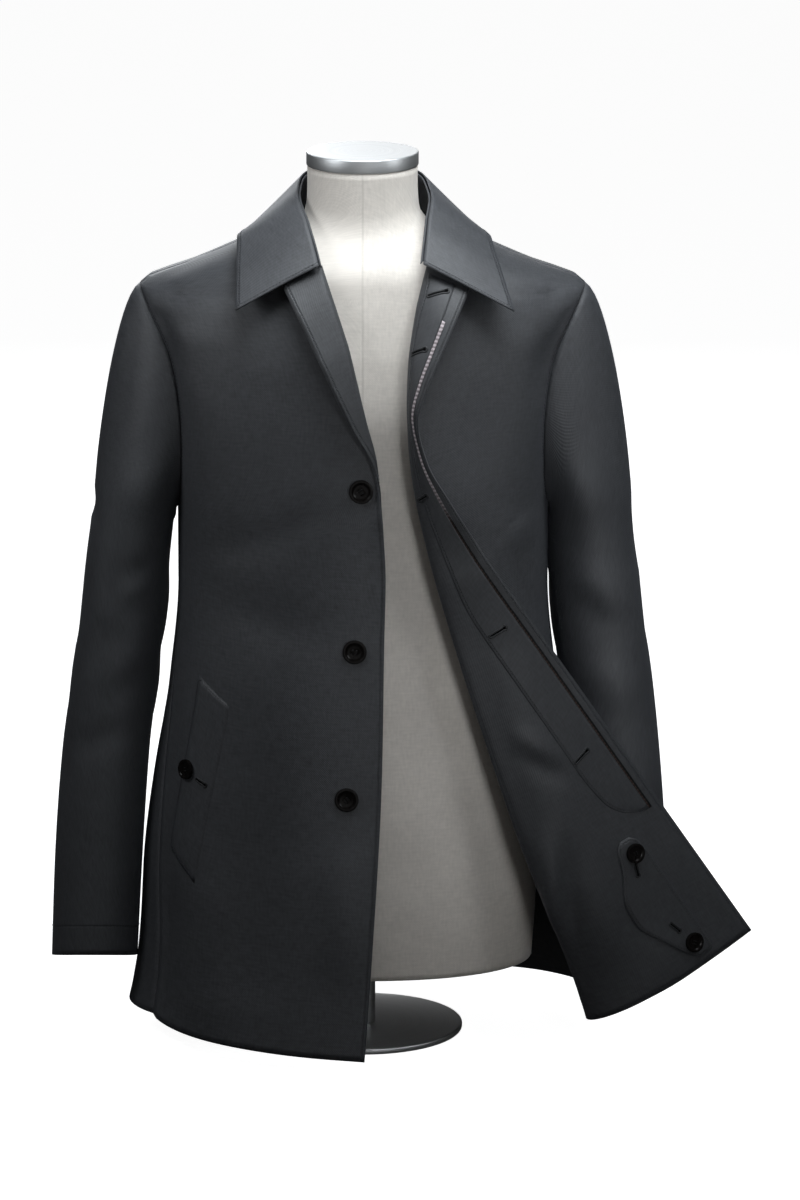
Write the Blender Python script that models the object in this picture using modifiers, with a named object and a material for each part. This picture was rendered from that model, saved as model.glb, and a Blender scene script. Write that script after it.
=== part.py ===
"""A single-breasted raincoat in charcoal cotton, worn open on a limbless dress form.

The closed coat is a stack of rings by height.  Each panel is a grid laid on those rings between its
seams and then given a wall, so the pieces meet as they are sewn.  The right front turns back along a
straight roll line.  The left front leaves the body at its own roll and swings out to the side.
X runs to the wearer's left, the coat faces -Y, Z is up and the floor is at zero.  Metres.
"""
import functools
import math

import bmesh
import bpy
import numpy as np
from mathutils import Vector

# Cloth and seams
WALL = 0.0016
THIN = 0.0010
GAP = 0.0003
HEM, ARMPIT, SHOULDER, THROAT = 0.037, 0.545, 0.768, 0.800
ARMHOLE_FRONT, ARMHOLE_BACK = 0.052, 0.066
FRONT_DIP, BACK_DIP = 0.025, 0.012

# Grid counts
BODY_COLUMNS, LAPEL_COLUMNS, FLAP_COLUMNS, BACK_COLUMNS = 12, 8, 13, 20
SLEEVE_COLUMNS, CAP_ROWS = 20, 7
LEVELS = (0.037, 0.074, 0.115, 0.165, 0.215, 0.265, 0.315, 0.365, 0.415, 0.460, 0.505, 0.545,
          0.550, 0.565, 0.590, 0.625, 0.660, 0.695, 0.725, 0.748, 0.763, 0.768, 0.784, 0.800,
          0.808, 0.817, 0.824, 0.829)
LAPEL_CURL_COLUMNS, PLACKET_COLUMNS, TAB_COLUMNS = 5, 5, 4
WELT_ROWS, WELT_COLUMNS, BUTTON_STEPS, FORM_HALF_COLUMNS = 6, 3, 18, 14

# Buttons and stand
FRONT_BUTTON, SMALL_BUTTON = 0.0118, 0.0100
CAP_RADIUS, CAP_BOTTOM, CAP_TOP = 0.0555, 0.8873, 0.9010
BASE_RADIUS, BASE_HEIGHT, COLUMN_RADIUS, TORSO_BOTTOM = 0.100, 0.006, 0.012, 0.080


class Table:
    """Rows under named columns; between rows a column follows a smooth curve that never overshoots."""

    def __init__(self, names, *rows):
        self.names = names.split()
        self.data = np.array(rows, float).T

    def slopes(self, x, y):
        rise = np.diff(y) / np.diff(x)
        same = rise[:-1] * rise[1:] > 0
        total = np.where(same, rise[:-1] + rise[1:], 1.0)
        inner = np.where(same, 2 * rise[:-1] * rise[1:] / total, 0.0)
        return np.concatenate(([rise[0]], inner, [rise[-1]]))

    def at(self, place, name):
        x, y = self.data[0], self.data[self.names.index(name)]
        step, slope = np.diff(x), self.slopes(x, y)
        place = min(max(place, x[0]), x[-1])
        i = min(max(int(np.searchsorted(x, place)) - 1, 0), len(x) - 2)
        t = (place - x[i]) / step[i]
        return float((1 + 2 * t) * (1 - t) ** 2 * y[i] + t * (1 - t) ** 2 * step[i] * slope[i]
                     + t * t * (3 - 2 * t) * y[i + 1] - t * t * (1 - t) * step[i] * slope[i + 1])


class Curve(Table):
    """Places along a line that turns evenly at every row, without corners."""

    def slopes(self, x, y):
        return np.gradient(y, x)


# The closed coat: half width and the depths in front of and behind the side line.
BODY = Table("height half front back power",
             (0.010, 0.2410, 0.162, 0.150, 2.15),
             (0.050, 0.2310, 0.158, 0.146, 2.15),
             (0.085, 0.2240, 0.155, 0.144, 2.15),
             (0.130, 0.2190, 0.153, 0.142, 2.15),
             (0.180, 0.2160, 0.151, 0.140, 2.15),
             (0.270, 0.2060, 0.147, 0.133, 2.15),
             (0.370, 0.1920, 0.143, 0.123, 2.15),
             (0.470, 0.1830, 0.140, 0.118, 2.15),
             (0.545, 0.1830, 0.140, 0.121, 2.15),
             (0.620, 0.1880, 0.137, 0.123, 2.15),
             (0.700, 0.2000, 0.125, 0.117, 2.15),
             (0.745, 0.2150, 0.110, 0.105, 2.15),
             (0.768, 0.2190, 0.100, 0.097, 2.15),
             (0.790, 0.1670, 0.089, 0.089, 2.10),
             (0.812, 0.1160, 0.078, 0.081, 2.05),
             (0.829, 0.0760, 0.068, 0.073, 2.00))

FORM = Table("height half front back power",
             (0.080, 0.1700, 0.110, 0.106, 2.2),
             (0.150, 0.1740, 0.116, 0.112, 2.2),
             (0.250, 0.1720, 0.120, 0.113, 2.2),
             (0.350, 0.1640, 0.120, 0.108, 2.2),
             (0.470, 0.1560, 0.116, 0.104, 2.2),
             (0.560, 0.1600, 0.119, 0.107, 2.2),
             (0.640, 0.1680, 0.120, 0.109, 2.2),
             (0.700, 0.1770, 0.110, 0.103, 2.2),
             (0.745, 0.1930, 0.098, 0.093, 2.15),
             (0.768, 0.2020, 0.092, 0.089, 2.15),
             (0.790, 0.1664, 0.086, 0.087, 2.10),
             (0.812, 0.1080, 0.069, 0.072, 2.05),
             (0.829, 0.0680, 0.058, 0.061, 2.00),
             (0.846, 0.0560, 0.055, 0.056, 2.00),
             (0.870, 0.0545, 0.0545, 0.0545, 2.00),
             (0.887, 0.0545, 0.0545, 0.0545, 2.00))

FORM_LEVELS = (0.080, 0.110, 0.150, 0.210, 0.280, 0.350, 0.420, 0.490, 0.560, 0.620, 0.670, 0.715, 0.748,
               0.768, 0.779, 0.790, 0.801, 0.812, 0.821, 0.829, 0.838, 0.847, 0.858, 0.887)

# How far in front of the side line each side seam runs.
SIDE_SEAM = Table("height right left",
                  (0.030, -0.078, -0.030),
                  (0.200, -0.055, -0.032),
                  (0.360, -0.035, -0.026),
                  (0.545, 0.0, 0.0))

# Neckline on the closed coat, from the throat round to the neck point.
NECKLINE = Table("height x", (0.800, 0.0440), (0.808, 0.0560), (0.818, 0.0670), (0.829, 0.0760))
NECK_EASE, NECK_EASE_RISE = 0.020, 0.020

# Right front: its edge and roll line on the closed coat, and how it turns back there.
RIGHT = Table("height edge_x roll_x turn radius",
              (0.012, 0.0000, -0.0330, 0, 0.0030),
              (0.127, 0.0087, -0.0260, 0, 0.0030),
              (0.320, 0.0195, -0.0150, 0, 0.0030),
              (0.440, 0.0215, -0.0060, 0, 0.0030),
              (0.500, 0.0230, 0.0000, 0, 0.0030),
              (0.550, 0.0208, 0.0045, 10, 0.0030),
              (0.585, 0.0195, 0.0128, 60, 0.0030),
              (0.613, 0.0215, 0.0108, 130, 0.0030),
              (0.655, 0.0225, -0.0005, 160, 0.0040),
              (0.733, 0.0222, -0.0205, 167, 0.0045),
              (0.800, 0.0058, -0.0435, 171, 0.0035),
              (0.808, 0.0058, -0.0455, 171, 0.0035))
# How far the lapel's top corner rises, and over what height below the throat.
LAPEL_PEAK, LAPEL_PEAK_RISE = 0.0096, 0.060

# Left front: where it leaves the body, how far it runs on and stands off there, and where its edge is.
LEFT = Table("height roll_x lead stand edge_x edge_y edge_z",
             (0.037, 0.2270, 0.062, 0.058, 0.3910, -0.0300, 0.1100),
             (0.130, 0.2010, 0.055, 0.048, 0.3370, -0.0485, 0.1920),
             (0.230, 0.1700, 0.050, 0.040, 0.2830, -0.0670, 0.2740),
             (0.330, 0.1380, 0.042, 0.033, 0.2294, -0.0890, 0.3566),
             (0.430, 0.1050, 0.032, 0.026, 0.1756, -0.1120, 0.4389),
             (0.530, 0.0740, 0.022, 0.021, 0.1217, -0.1380, 0.5211),
             (0.600, 0.0560, 0.014, 0.018, 0.0840, -0.1520, 0.5830),
             (0.640, 0.0510, 0.011, 0.016, 0.0640, -0.1560, 0.6180),
             (0.675, 0.0490, 0.009, 0.014, 0.0540, -0.1560, 0.6580),
             (0.710, 0.0500, 0.009, 0.013, 0.0620, -0.1490, 0.6900),
             (0.745, 0.0540, 0.009, 0.013, 0.0780, -0.1390, 0.7260),
             (0.775, 0.0590, 0.009, 0.011, 0.0940, -0.1190, 0.7600),
             (0.800, 0.0670, 0.009, 0.007, 0.1060, -0.0990, 0.7845))

# Sleeves below the armpit: the inner and outer side of each, and the middle and half depth front to back.
SLEEVE = Table("height inner_right right inner_left left middle depth",
               (0.080, 0.2295, 0.3130, 0.2295, 0.3080, -0.010, 0.052),
               (0.190, 0.2235, 0.3090, 0.2210, 0.3040, -0.002, 0.056),
               (0.330, 0.2130, 0.2970, 0.2030, 0.2930, 0.006, 0.061),
               (0.440, 0.1990, 0.2810, 0.1900, 0.2790, 0.008, 0.064),
               (0.520, 0.1920, 0.2715, 0.1850, 0.2710, 0.007, 0.066))
# How much farther back each sleeve hangs.
SLEEVE_BACK = {"right": 0.0, "left": 0.014}
SLEEVE_LEVELS = (0.520, 0.475, 0.430, 0.380, 0.330, 0.275, 0.220, 0.170, 0.120, 0.080)
CUFF_TILT, CUFF_TILT_RISE = 0.26, 0.25

# Sleeve cap: how it leaves the armhole, its seam ease at the top and underarm, and its two handles.
CAP_LEAN, CAP_DROP, CAP_SIDE_DROP = 0.35, 0.60, 0.20
CAP_EASE, UNDERARM_EASE = 0.0014, 0.0022
CAP_HANDLE, TUBE_HANDLE = 0.17, 0.40

# Collar, from the left point round the back to the right point: neck seam, fold and outer edge.
COLLAR = (
    ("station", "seam", "fold", "edge"),
    (0.00, (0.0640, -0.0760, 0.8110), (0.0565, -0.0930, 0.8050), (0.1483, -0.1100, 0.7632)),
    (0.14, (0.0700, -0.0440, 0.8270), (0.0610, -0.0500, 0.8380), (0.1310, -0.0520, 0.8060)),
    (0.30, (0.0768, 0.0000, 0.8312), (0.0630, 0.0000, 0.8620), (0.1200, 0.0000, 0.8190)),
    (0.40, (0.0575, 0.0490, 0.8312), (0.0500, 0.0460, 0.8720), (0.0980, 0.0760, 0.8070)),
    (0.50, (0.0000, 0.0738, 0.8312), (0.0000, 0.0700, 0.8750), (0.0000, 0.0960, 0.8080)),
    (0.60, (-0.0575, 0.0490, 0.8312), (-0.0500, 0.0460, 0.8720), (-0.0980, 0.0760, 0.8070)),
    (0.70, (-0.0768, 0.0000, 0.8312), (-0.0600, 0.0000, 0.8620), (-0.1180, 0.0000, 0.8190)),
    (0.86, (-0.0660, -0.0440, 0.8270), (-0.0510, -0.0520, 0.8380), (-0.1230, -0.0480, 0.8090)),
    (1.00, (-0.0470, -0.0760, 0.8110), (-0.0390, -0.0950, 0.8080), (-0.1232, -0.1105, 0.7643)),
)
COLLAR_COLUMNS, FALL_ROWS, STAND_ROWS = 32, 5, 3
STAND_SHARE, FOLD_RADIUS, FALL_BULGE_AT, FALL_BULGE = 0.97, 0.0030, 0.40, 0.002

# Pocket welt corners: height and distance from the side seam.
POCKET = {"top_outer": (0.392, 0.058), "top_inner": (0.370, 0.098),
          "bottom_outer": (0.213, 0.022), "bottom_inner": (0.188, 0.060)}
POCKET_BUTTON = (0.297, 0.0455)

# Inside of the left front: height and distance from the front edge.
PIPING_WIDTH = 0.0035
FLY = Table("height outer inner",
            (0.205, 0.015, 0.022),
            (0.215, 0.015, 0.042),
            (0.235, 0.015, 0.054),
            (0.275, 0.015, 0.058),
            (0.450, 0.015, 0.057),
            (0.530, 0.015, 0.045),
            (0.600, 0.015, 0.033),
            (0.640, 0.014, 0.0265),
            (0.680, 0.013, 0.0265),
            (0.710, 0.0125, 0.032),
            (0.745, 0.0130, 0.040),
            (0.795, 0.0150, 0.046))
FLY_FOOT = (0.205, 0.215, 0.235)
FLY_TOP, PIPING_TOP = 0.795, 0.766
TAB = Table("height inner outer", (0.046, 0.050, 0.060), (0.050, 0.045, 0.067), (0.080, 0.043, 0.086),
            (0.108, 0.043, 0.099), (0.128, 0.043, 0.098), (0.160, 0.043, 0.081), (0.184, 0.046, 0.071),
            (0.190, 0.052, 0.064))
FACING_TRIM = 0.12
LEFT_HEM_SHARE, FLAP_SAG = 0.3, 0.1
TAB_BUTTONS = {"upper": (0.173, 0.057), "lower": (0.063, 0.060)}
FRONT_BUTTONS = ((0.588, -0.0010), (0.427, -0.0075), (0.278, -0.0155))

MATERIALS = {"shell": ((0.030, 0.031, 0.032), 0.75, 0.0), "lining": ((0.30, 0.27, 0.27), 0.6, 0.0),
             "button": ((0.008, 0.007, 0.007), 0.25, 0.0), "linen": ((0.55, 0.51, 0.45), 0.9, 0.0),
             "steel": ((0.55, 0.56, 0.57), 0.3, 1.0)}


@functools.lru_cache(maxsize=None)
def ring(height, shape):
    """Half of a section at a height: x, y and the distance round from the middle of the front."""
    turn = np.linspace(0.0, math.pi, 161)
    power = 2.0 / shape.at(height, "power")
    depth = np.where(turn < math.pi / 2, shape.at(height, "front"), shape.at(height, "back"))
    x = shape.at(height, "half") * np.abs(np.sin(turn)) ** power
    y = -depth * np.sign(np.cos(turn)) * np.abs(np.cos(turn)) ** power
    run = np.concatenate(([0.0], np.cumsum(np.hypot(np.diff(x), np.diff(y)))))
    return x, y, run


def lay(height, arc):
    """Point of the closed coat at a height and a distance round from the middle of the front."""
    x, y, run = ring(round(height, 6), BODY)
    side, reach = math.copysign(1.0, arc), abs(arc)
    if reach > run[-1]:
        side, reach = -side, 2 * run[-1] - reach
    return np.array((side * np.interp(reach, run, x), np.interp(reach, run, y), height))


def arc_at_x(height, x):
    """Distance round to a place on the front half, given how far it is from the middle."""
    xs, _, run = ring(round(height, 6), BODY)
    return math.copysign(float(np.interp(abs(x), xs[:81], run[:81])), x)


def outward(height, arc):
    """Unit normal of the closed coat."""
    across = lay(height, arc + 0.001) - lay(height, arc - 0.001)
    up = lay(height + 0.001, arc) - lay(height - 0.001, arc)
    normal = np.cross(across, up)
    return normal / np.linalg.norm(normal)


def side_edge(height, panel, side):
    """Distance round to the seam beside a panel: side seam, then armhole, then shoulder seam."""
    _, y, run = ring(round(height, 6), BODY)
    if height <= ARMPIT:
        place = SIDE_SEAM.at(height, side)
    elif height < SHOULDER:
        lift = (2 * height - SHOULDER - ARMPIT) / (SHOULDER - ARMPIT)
        place = (-ARMHOLE_FRONT if panel == "front" else ARMHOLE_BACK) * math.sqrt(1 - lift * lift)
    else:
        place = 0.0
    return float(np.interp(place, y, run)) + (-GAP if panel == "front" else GAP) / 2


def dropped(level, dip):
    """Height of a row once the hem's dip has faded out towards the armpit."""
    return level - dip * max(0.0, 1 - (level - HEM) / (ARMPIT - HEM))


def turned_back(height, arc):
    """A point of the right front beyond its roll line, turned back onto the chest."""
    def roll(level):
        return arc_at_x(level, RIGHT.at(level, "roll_x"))

    foot = height
    for _ in range(8):
        lean = (roll(foot + 0.002) - roll(foot - 0.002)) / 0.004
        foot = min(max(height + (arc - roll(foot)) * lean, 0.012), THROAT + 0.006)
    reach = np.array((arc - roll(foot), height - foot))
    distance = float(np.linalg.norm(reach))
    start = lay(foot, roll(foot))
    step = reach / distance * 0.002
    ahead = lay(foot + step[1], roll(foot) + step[0]) - start
    ahead /= np.linalg.norm(ahead)
    normal = outward(foot, roll(foot))
    turn, radius = math.radians(RIGHT.at(foot, "turn")), RIGHT.at(foot, "radius")
    angle = min(distance / radius, turn)
    rest = max(0.0, distance - radius * turn)
    return (start + ahead * (radius * math.sin(angle) + rest * math.cos(angle))
            + normal * (radius * (1 - math.cos(angle)) + rest * math.sin(angle)))


def right_points():
    rows = []
    for level in LEVELS:
        start = -side_edge(level, "front", "right")
        if level <= THROAT:
            roll = arc_at_x(level, RIGHT.at(level, "roll_x"))
            edge = arc_at_x(level, RIGHT.at(level, "edge_x"))
        else:
            roll = edge = arc_at_x(level, -NECKLINE.at(level, "x"))
        row = []
        for k in range(BODY_COLUMNS + 1):
            arc = start + (roll - start) * k / BODY_COLUMNS
            share = (arc - start) / (edge - start) if edge > start else 0.0
            row.append(lay(dropped(level, FRONT_DIP * math.sqrt(max(share, 0.0))), arc))
        curl = RIGHT.at(level, "radius") * math.radians(RIGHT.at(level, "turn"))
        bend = min(max(curl, 0.012), 0.7 * (edge - roll))
        for k in range(1, LAPEL_COLUMNS + 1):
            lift = LAPEL_PEAK * (k / LAPEL_COLUMNS) ** 2 * max(0.0, 1 - (THROAT - level) / LAPEL_PEAK_RISE)
            beyond = max(0, k - LAPEL_CURL_COLUMNS) / (LAPEL_COLUMNS - LAPEL_CURL_COLUMNS)
            reach = bend * min(k / LAPEL_CURL_COLUMNS, 1.0) + (edge - roll - bend) * beyond
            if level > THROAT:
                row.append(row[-1])
            else:
                share = (roll + reach - start) / (edge - start)
                row.append(turned_back(dropped(level, FRONT_DIP * math.sqrt(share)) + lift, roll + reach))
        rows.append(row)
    return np.array(rows)


def bezier(points, t):
    a, b, c, d = points
    return (1 - t) ** 3 * a + 3 * t * (1 - t) ** 2 * b + 3 * t * t * (1 - t) * c + t ** 3 * d


def left_points():
    rows = []
    for level in LEVELS:
        start = side_edge(level, "front", "left")
        if level <= THROAT:
            roll = arc_at_x(level, LEFT.at(level, "roll_x"))
        else:
            ease = NECK_EASE * max(0.0, 1 - (level - THROAT) / NECK_EASE_RISE)
            roll = arc_at_x(level, NECKLINE.at(level, "x") + ease)
        roll = min(roll, start)
        body = []
        for k in range(BODY_COLUMNS + 1):
            share = k / BODY_COLUMNS
            height = dropped(level, FRONT_DIP * LEFT_HEM_SHARE * share)
            body.append(lay(height, start + (roll - start) * share))
        leave = body[-1]
        flap = []
        if level <= THROAT:
            onward = leave - lay(leave[2], roll + 0.002)
            onward /= np.linalg.norm(onward)
            edge = np.array([LEFT.at(level, name) for name in ("edge_x", "edge_y", "edge_z")])
            run_on = leave + onward * LEFT.at(level, "lead")
            stand = run_on + outward(leave[2], roll) * LEFT.at(level, "stand")
            rise = (edge[2] - leave[2]) * np.array((0.0, 0.0, 1.0))
            flap = [bezier((leave, run_on, stand - FLAP_SAG * rise, edge), k / FLAP_COLUMNS)
                    for k in range(1, FLAP_COLUMNS + 1)]
        else:
            flap = [leave] * FLAP_COLUMNS
        rows.append((body + flap)[::-1])
    return np.array(rows)


def back_points():
    rows = []
    for level in LEVELS:
        _, _, run = ring(round(level, 6), BODY)
        start = side_edge(level, "back", "left")
        stop = 2 * run[-1] - side_edge(level, "back", "right")
        rows.append([lay(dropped(level, BACK_DIP * (1 - (2 * k / BACK_COLUMNS - 1) ** 2)),
                         start + (stop - start) * k / BACK_COLUMNS) for k in range(BACK_COLUMNS + 1)])
    return np.array(rows)


def sleeve_points(side):
    """A sleeve, drawn on the right: a cap from the armhole to the first level below it, then a tube."""
    rows = [[] for _ in range(CAP_ROWS + len(SLEEVE_LEVELS))]
    for k in range(SLEEVE_COLUMNS + 1):
        angle = 2 * math.pi * k / SLEEVE_COLUMNS
        y = (ARMHOLE_BACK if math.sin(angle) > 0 else ARMHOLE_FRONT) * math.sin(angle)
        z = (SHOULDER + ARMPIT) / 2 + (SHOULDER - ARMPIT) / 2 * math.cos(angle)
        x, ys, _ = ring(round(z, 6), BODY)
        hole = np.array((-float(np.interp(y, ys, x)), y, z))
        tube = []
        for level in SLEEVE_LEVELS:
            inner, outer = SLEEVE.at(level, f"inner_{side}"), SLEEVE.at(level, side)
            deep = SLEEVE.at(level, "depth") * math.sin(angle)
            tilt = CUFF_TILT * deep * max(0.0, 1 - (level - SLEEVE_LEVELS[-1]) / CUFF_TILT_RISE)
            tube.append(np.array((-(inner + outer) / 2 - (outer - inner) / 2 * math.cos(angle),
                                  SLEEVE.at(level, "middle") + SLEEVE_BACK[side] + deep, level - tilt)))
        chord = float(np.linalg.norm(tube[0] - hole))
        leave = np.array((-1.0, CAP_LEAN * math.sin(angle), -CAP_DROP - CAP_SIDE_DROP * abs(math.sin(angle))))
        leave /= np.linalg.norm(leave)
        start = hole + leave * (CAP_EASE + UNDERARM_EASE * (1 - math.cos(angle)))
        hang = tube[1] - tube[0]
        hang /= np.linalg.norm(hang)
        path = (start, start + leave * CAP_HANDLE * chord, tube[0] - hang * TUBE_HANDLE * chord, tube[0])
        for row in range(CAP_ROWS):
            rows[row].append(bezier(path, row / CAP_ROWS))
        for row, point in enumerate(tube):
            rows[CAP_ROWS + row].append(point)
    return np.array(rows)


def collar_points(part):
    """Rows of the collar's leaf, from its outer edge to the fold, or of its stand, from seam to fold."""
    names, rows = COLLAR[0], COLLAR[1:]
    lines = {}
    for name in names[1:]:
        column = names.index(name)
        kind = Table if name == "seam" else Curve
        line = kind("station x y z", *[(row[0], *row[column]) for row in rows])
        lines[name] = np.array([[line.at(k / COLLAR_COLUMNS, axis) for axis in "xyz"]
                                for k in range(COLLAR_COLUMNS + 1)])
    away = lines["edge"] - lines["fold"]
    away[:, 2] = 0.0
    away /= np.linalg.norm(away, axis=1)[:, None]
    top = lines["fold"]
    if part == "stand":
        return np.array([lines["seam"] + (top - lines["seam"]) * (k / STAND_ROWS) * STAND_SHARE
                         for k in range(STAND_ROWS + 1)])
    start = top + away * FOLD_RADIUS
    bulge = start + (lines["edge"] - start) * FALL_BULGE_AT + away * FALL_BULGE
    grid = []
    for k in range(FALL_ROWS + 1):
        t = k / FALL_ROWS
        grid.append((1 - t) ** 2 * lines["edge"] + 2 * t * (1 - t) * bulge + t * t * start)
    return np.array(grid)


def form_points():
    rows = []
    for level in FORM_LEVELS:
        x, y, run = ring(level, FORM)
        reach = np.linspace(0.0, run[-1], FORM_HALF_COLUMNS + 1)
        half = np.array([(np.interp(at, run, x), np.interp(at, run, y), level) for at in reach])
        rows.append(np.concatenate((half, (half * (-1, 1, 1))[-2::-1])))
    return np.array(rows)


class Panel:
    """A panel's grid, read at a height and at a distance along its row from either end."""

    def __init__(self, points):
        self.points = points[:LEVELS.index(THROAT) + 1]
        normal = np.cross(np.gradient(self.points, axis=1), np.gradient(self.points, axis=0))
        self.normals = normal / np.linalg.norm(normal, axis=2)[:, :, None]

    def at(self, level, distance, lift=0.0, from_end=False):
        row = min(int(np.searchsorted(LEVELS, level)), len(self.points) - 1)
        low = max(row - 1, 0)
        share = (level - LEVELS[low]) / (LEVELS[row] - LEVELS[low]) if row > low else 0.0
        found = []
        for index in (low, row):
            points, normals = self.points[index], self.normals[index]
            if from_end:
                points, normals = points[::-1], normals[::-1]
            run = np.concatenate(([0.0], np.cumsum(np.linalg.norm(np.diff(points, axis=0), axis=1))))
            place = [np.interp(distance, run, points[:, axis]) for axis in range(3)]
            facing = np.array([np.interp(distance, run, normals[:, axis]) for axis in range(3)])
            found.append((np.array(place), facing / np.linalg.norm(facing)))
        point = found[0][0] * (1 - share) + found[1][0] * share
        facing = found[0][1] * (1 - share) + found[1][1] * share
        return point + facing / np.linalg.norm(facing) * lift, facing / np.linalg.norm(facing)


def material(name):
    colour, rough, metal = MATERIALS[name]
    made = bpy.data.materials.new(name)
    made.use_nodes = True
    shader = made.node_tree.nodes["Principled BSDF"]
    shader.inputs["Base Color"].default_value = (*colour, 1.0)
    shader.inputs["Roughness"].default_value = rough
    shader.inputs["Metallic"].default_value = metal
    return made


def place(name, bm, kind):
    """Put a finished mesh into the scene under its own name and material."""
    mesh = bpy.data.meshes.new(name)
    for face in bm.faces:
        face.smooth = True
    bm.to_mesh(mesh)
    bm.free()
    obj = bpy.data.objects.new(name, mesh)
    made = material(kind)
    made.name = f"{name}_{kind}"
    mesh.materials.append(made)
    COAT.objects.link(obj)
    return obj


def grid(points):
    """A grid of faces moved to the given points; coinciding points are merged."""
    rows, columns = points.shape[:2]
    bm = bmesh.new()
    bmesh.ops.create_grid(bm, x_segments=columns - 1, y_segments=rows - 1, size=1.0)
    for vert in bm.verts:
        column = round((vert.co.x + 1) / 2 * (columns - 1))
        row = round((vert.co.y + 1) / 2 * (rows - 1))
        vert.co = Vector(points[row, column])
    bmesh.ops.remove_doubles(bm, verts=bm.verts, dist=1e-6)
    return bm


def cloth(name, points, wall=WALL, side=1.0, kind="shell"):
    """A cloth piece: the grid with a wall on its outer (1) or inner (-1) side."""
    obj = place(name, grid(points), kind)
    solid = obj.modifiers.new("wall", "SOLIDIFY")
    solid.thickness = wall
    solid.offset = side
    solid.use_quality_normals = True
    solid.use_even_offset = True
    return obj


def button(name, point, facing, radius):
    """A dished button, turned from its profile and laid on the cloth."""
    profile = [(0.0, 0.0), (0.88, 0.0), (1.0, 0.0007), (1.0, 0.0022), (0.92, 0.0029), (0.76, 0.0026),
               (0.66, 0.0015), (0.0, 0.0015)]
    bm = bmesh.new()
    verts = [bm.verts.new((radius * share, 0.0, height)) for share, height in profile]
    for a, b in zip(verts, verts[1:]):
        bm.edges.new((a, b))
    obj = place(name, bm, "button")
    screw = obj.modifiers.new("turn", "SCREW")
    screw.steps = screw.render_steps = BUTTON_STEPS
    screw.use_merge_vertices = True
    screw.merge_threshold = 0.00001
    screw.use_normal_calculate = True
    obj.rotation_mode = "QUATERNION"
    obj.rotation_quaternion = Vector(facing).to_track_quat("Z", "Y")
    obj.location = Vector(point)
    return obj


def drum(name, radius, low, high, segments, bevel):
    """A steel disc or rod standing on Z, its edges rounded."""
    bm = bmesh.new()
    bmesh.ops.create_cone(bm, cap_ends=True, segments=segments, radius1=radius, radius2=radius,
                          depth=high - low)
    bmesh.ops.translate(bm, verts=bm.verts, vec=(0.0, 0.0, (low + high) / 2))
    obj = place(name, bm, "steel")
    soft = obj.modifiers.new("edge", "BEVEL")
    soft.width = bevel
    soft.segments = 2
    soft.limit_method = "ANGLE"
    return obj


def pocket(side, panel, from_end):
    """A slanted welt on the shell of a front, and its button."""
    corner = {name: np.array(at) for name, at in POCKET.items()}
    rows = []
    for i in range(WELT_ROWS + 1):
        up = i / WELT_ROWS
        outer = corner["bottom_outer"] * (1 - up) + corner["top_outer"] * up
        inner = corner["bottom_inner"] * (1 - up) + corner["top_inner"] * up
        row = []
        for k in range(WELT_COLUMNS + 1):
            level, reach = outer + (inner - outer) * k / WELT_COLUMNS
            row.append(panel.at(level, reach, WALL + 3 * GAP, from_end)[0])
        rows.append(row[::-1] if from_end else row)
    cloth(f"pocket_welt_{side}", np.array(rows), THIN)
    point, facing = panel.at(*POCKET_BUTTON, WALL + THIN + 5 * GAP, from_end)
    button(f"pocket_button_{side}", point, facing, SMALL_BUTTON)


for old in list(bpy.data.objects):
    bpy.data.objects.remove(old, do_unlink=True)
COAT = bpy.data.collections.new("raincoat")
bpy.context.scene.collection.children.link(COAT)

# The five large panels
right, left = right_points(), left_points()
cloth("front_right", right)
cloth("front_left", left)
cloth("back", back_points())
cloth("sleeve_right", sleeve_points("right"))
cloth("sleeve_left", (sleeve_points("left") * (-1, 1, 1))[:, ::-1])

# Collar
cloth("collar_stand", collar_points("stand"))
cloth("collar_fall", collar_points("fall"))

# Facing of the right front, made from the panel's own points moved in
right_panel, left_panel = Panel(right), Panel(left)
strip = (right_panel.points - right_panel.normals * GAP)[:, BODY_COLUMNS - 2:]
strip[:, -1] += (strip[:, -2] - strip[:, -1]) * FACING_TRIM
cloth("facing_right", strip, THIN, -1.0)

# Buttonhole strip of the fly and the lining edge along its slit
placket, piping = [], []
for level in sorted({*FLY_FOOT, PIPING_TOP, FLY_TOP, *(x for x in LEVELS if FLY_FOOT[-1] < x < FLY_TOP)}):
    outer, inner = FLY.at(level, "outer"), FLY.at(level, "inner")
    placket.append([left_panel.at(level, outer + (inner - outer) * k / PLACKET_COLUMNS, -3 * GAP)[0]
                    for k in range(PLACKET_COLUMNS + 1)])
    if level <= PIPING_TOP:
        piping.append([left_panel.at(level, outer - GAP - back, -3 * GAP)[0]
                       for back in (PIPING_WIDTH, 0.0)])
cloth("fly_placket", np.array(placket), THIN, -1.0)
cloth("fly_piping", np.array(piping), THIN * 0.8, -1.0, "lining")

# Tab buttoned away on the inside of the left front
tab = []
for level in (float(x) for x in TAB.data[0]):
    inner, outer = TAB.at(level, "inner"), TAB.at(level, "outer")
    tab.append([left_panel.at(level, inner + (outer - inner) * k / TAB_COLUMNS, -2 * GAP)[0]
                for k in range(TAB_COLUMNS + 1)])
cloth("storm_tab", np.array(tab), THIN, -1.0)
for which, (level, reach) in TAB_BUTTONS.items():
    point, facing = left_panel.at(level, reach, -(THIN + 4 * GAP))
    button(f"tab_button_{which}", point, -facing, SMALL_BUTTON)

pocket("right", right_panel, False)
pocket("left", left_panel, True)

for count, (height, x) in enumerate(FRONT_BUTTONS, 1):
    arc = arc_at_x(height, x)
    button(f"front_button_{count}", lay(height, arc) + outward(height, arc) * (WALL + 3 * GAP),
           outward(height, arc), FRONT_BUTTON)

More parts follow.
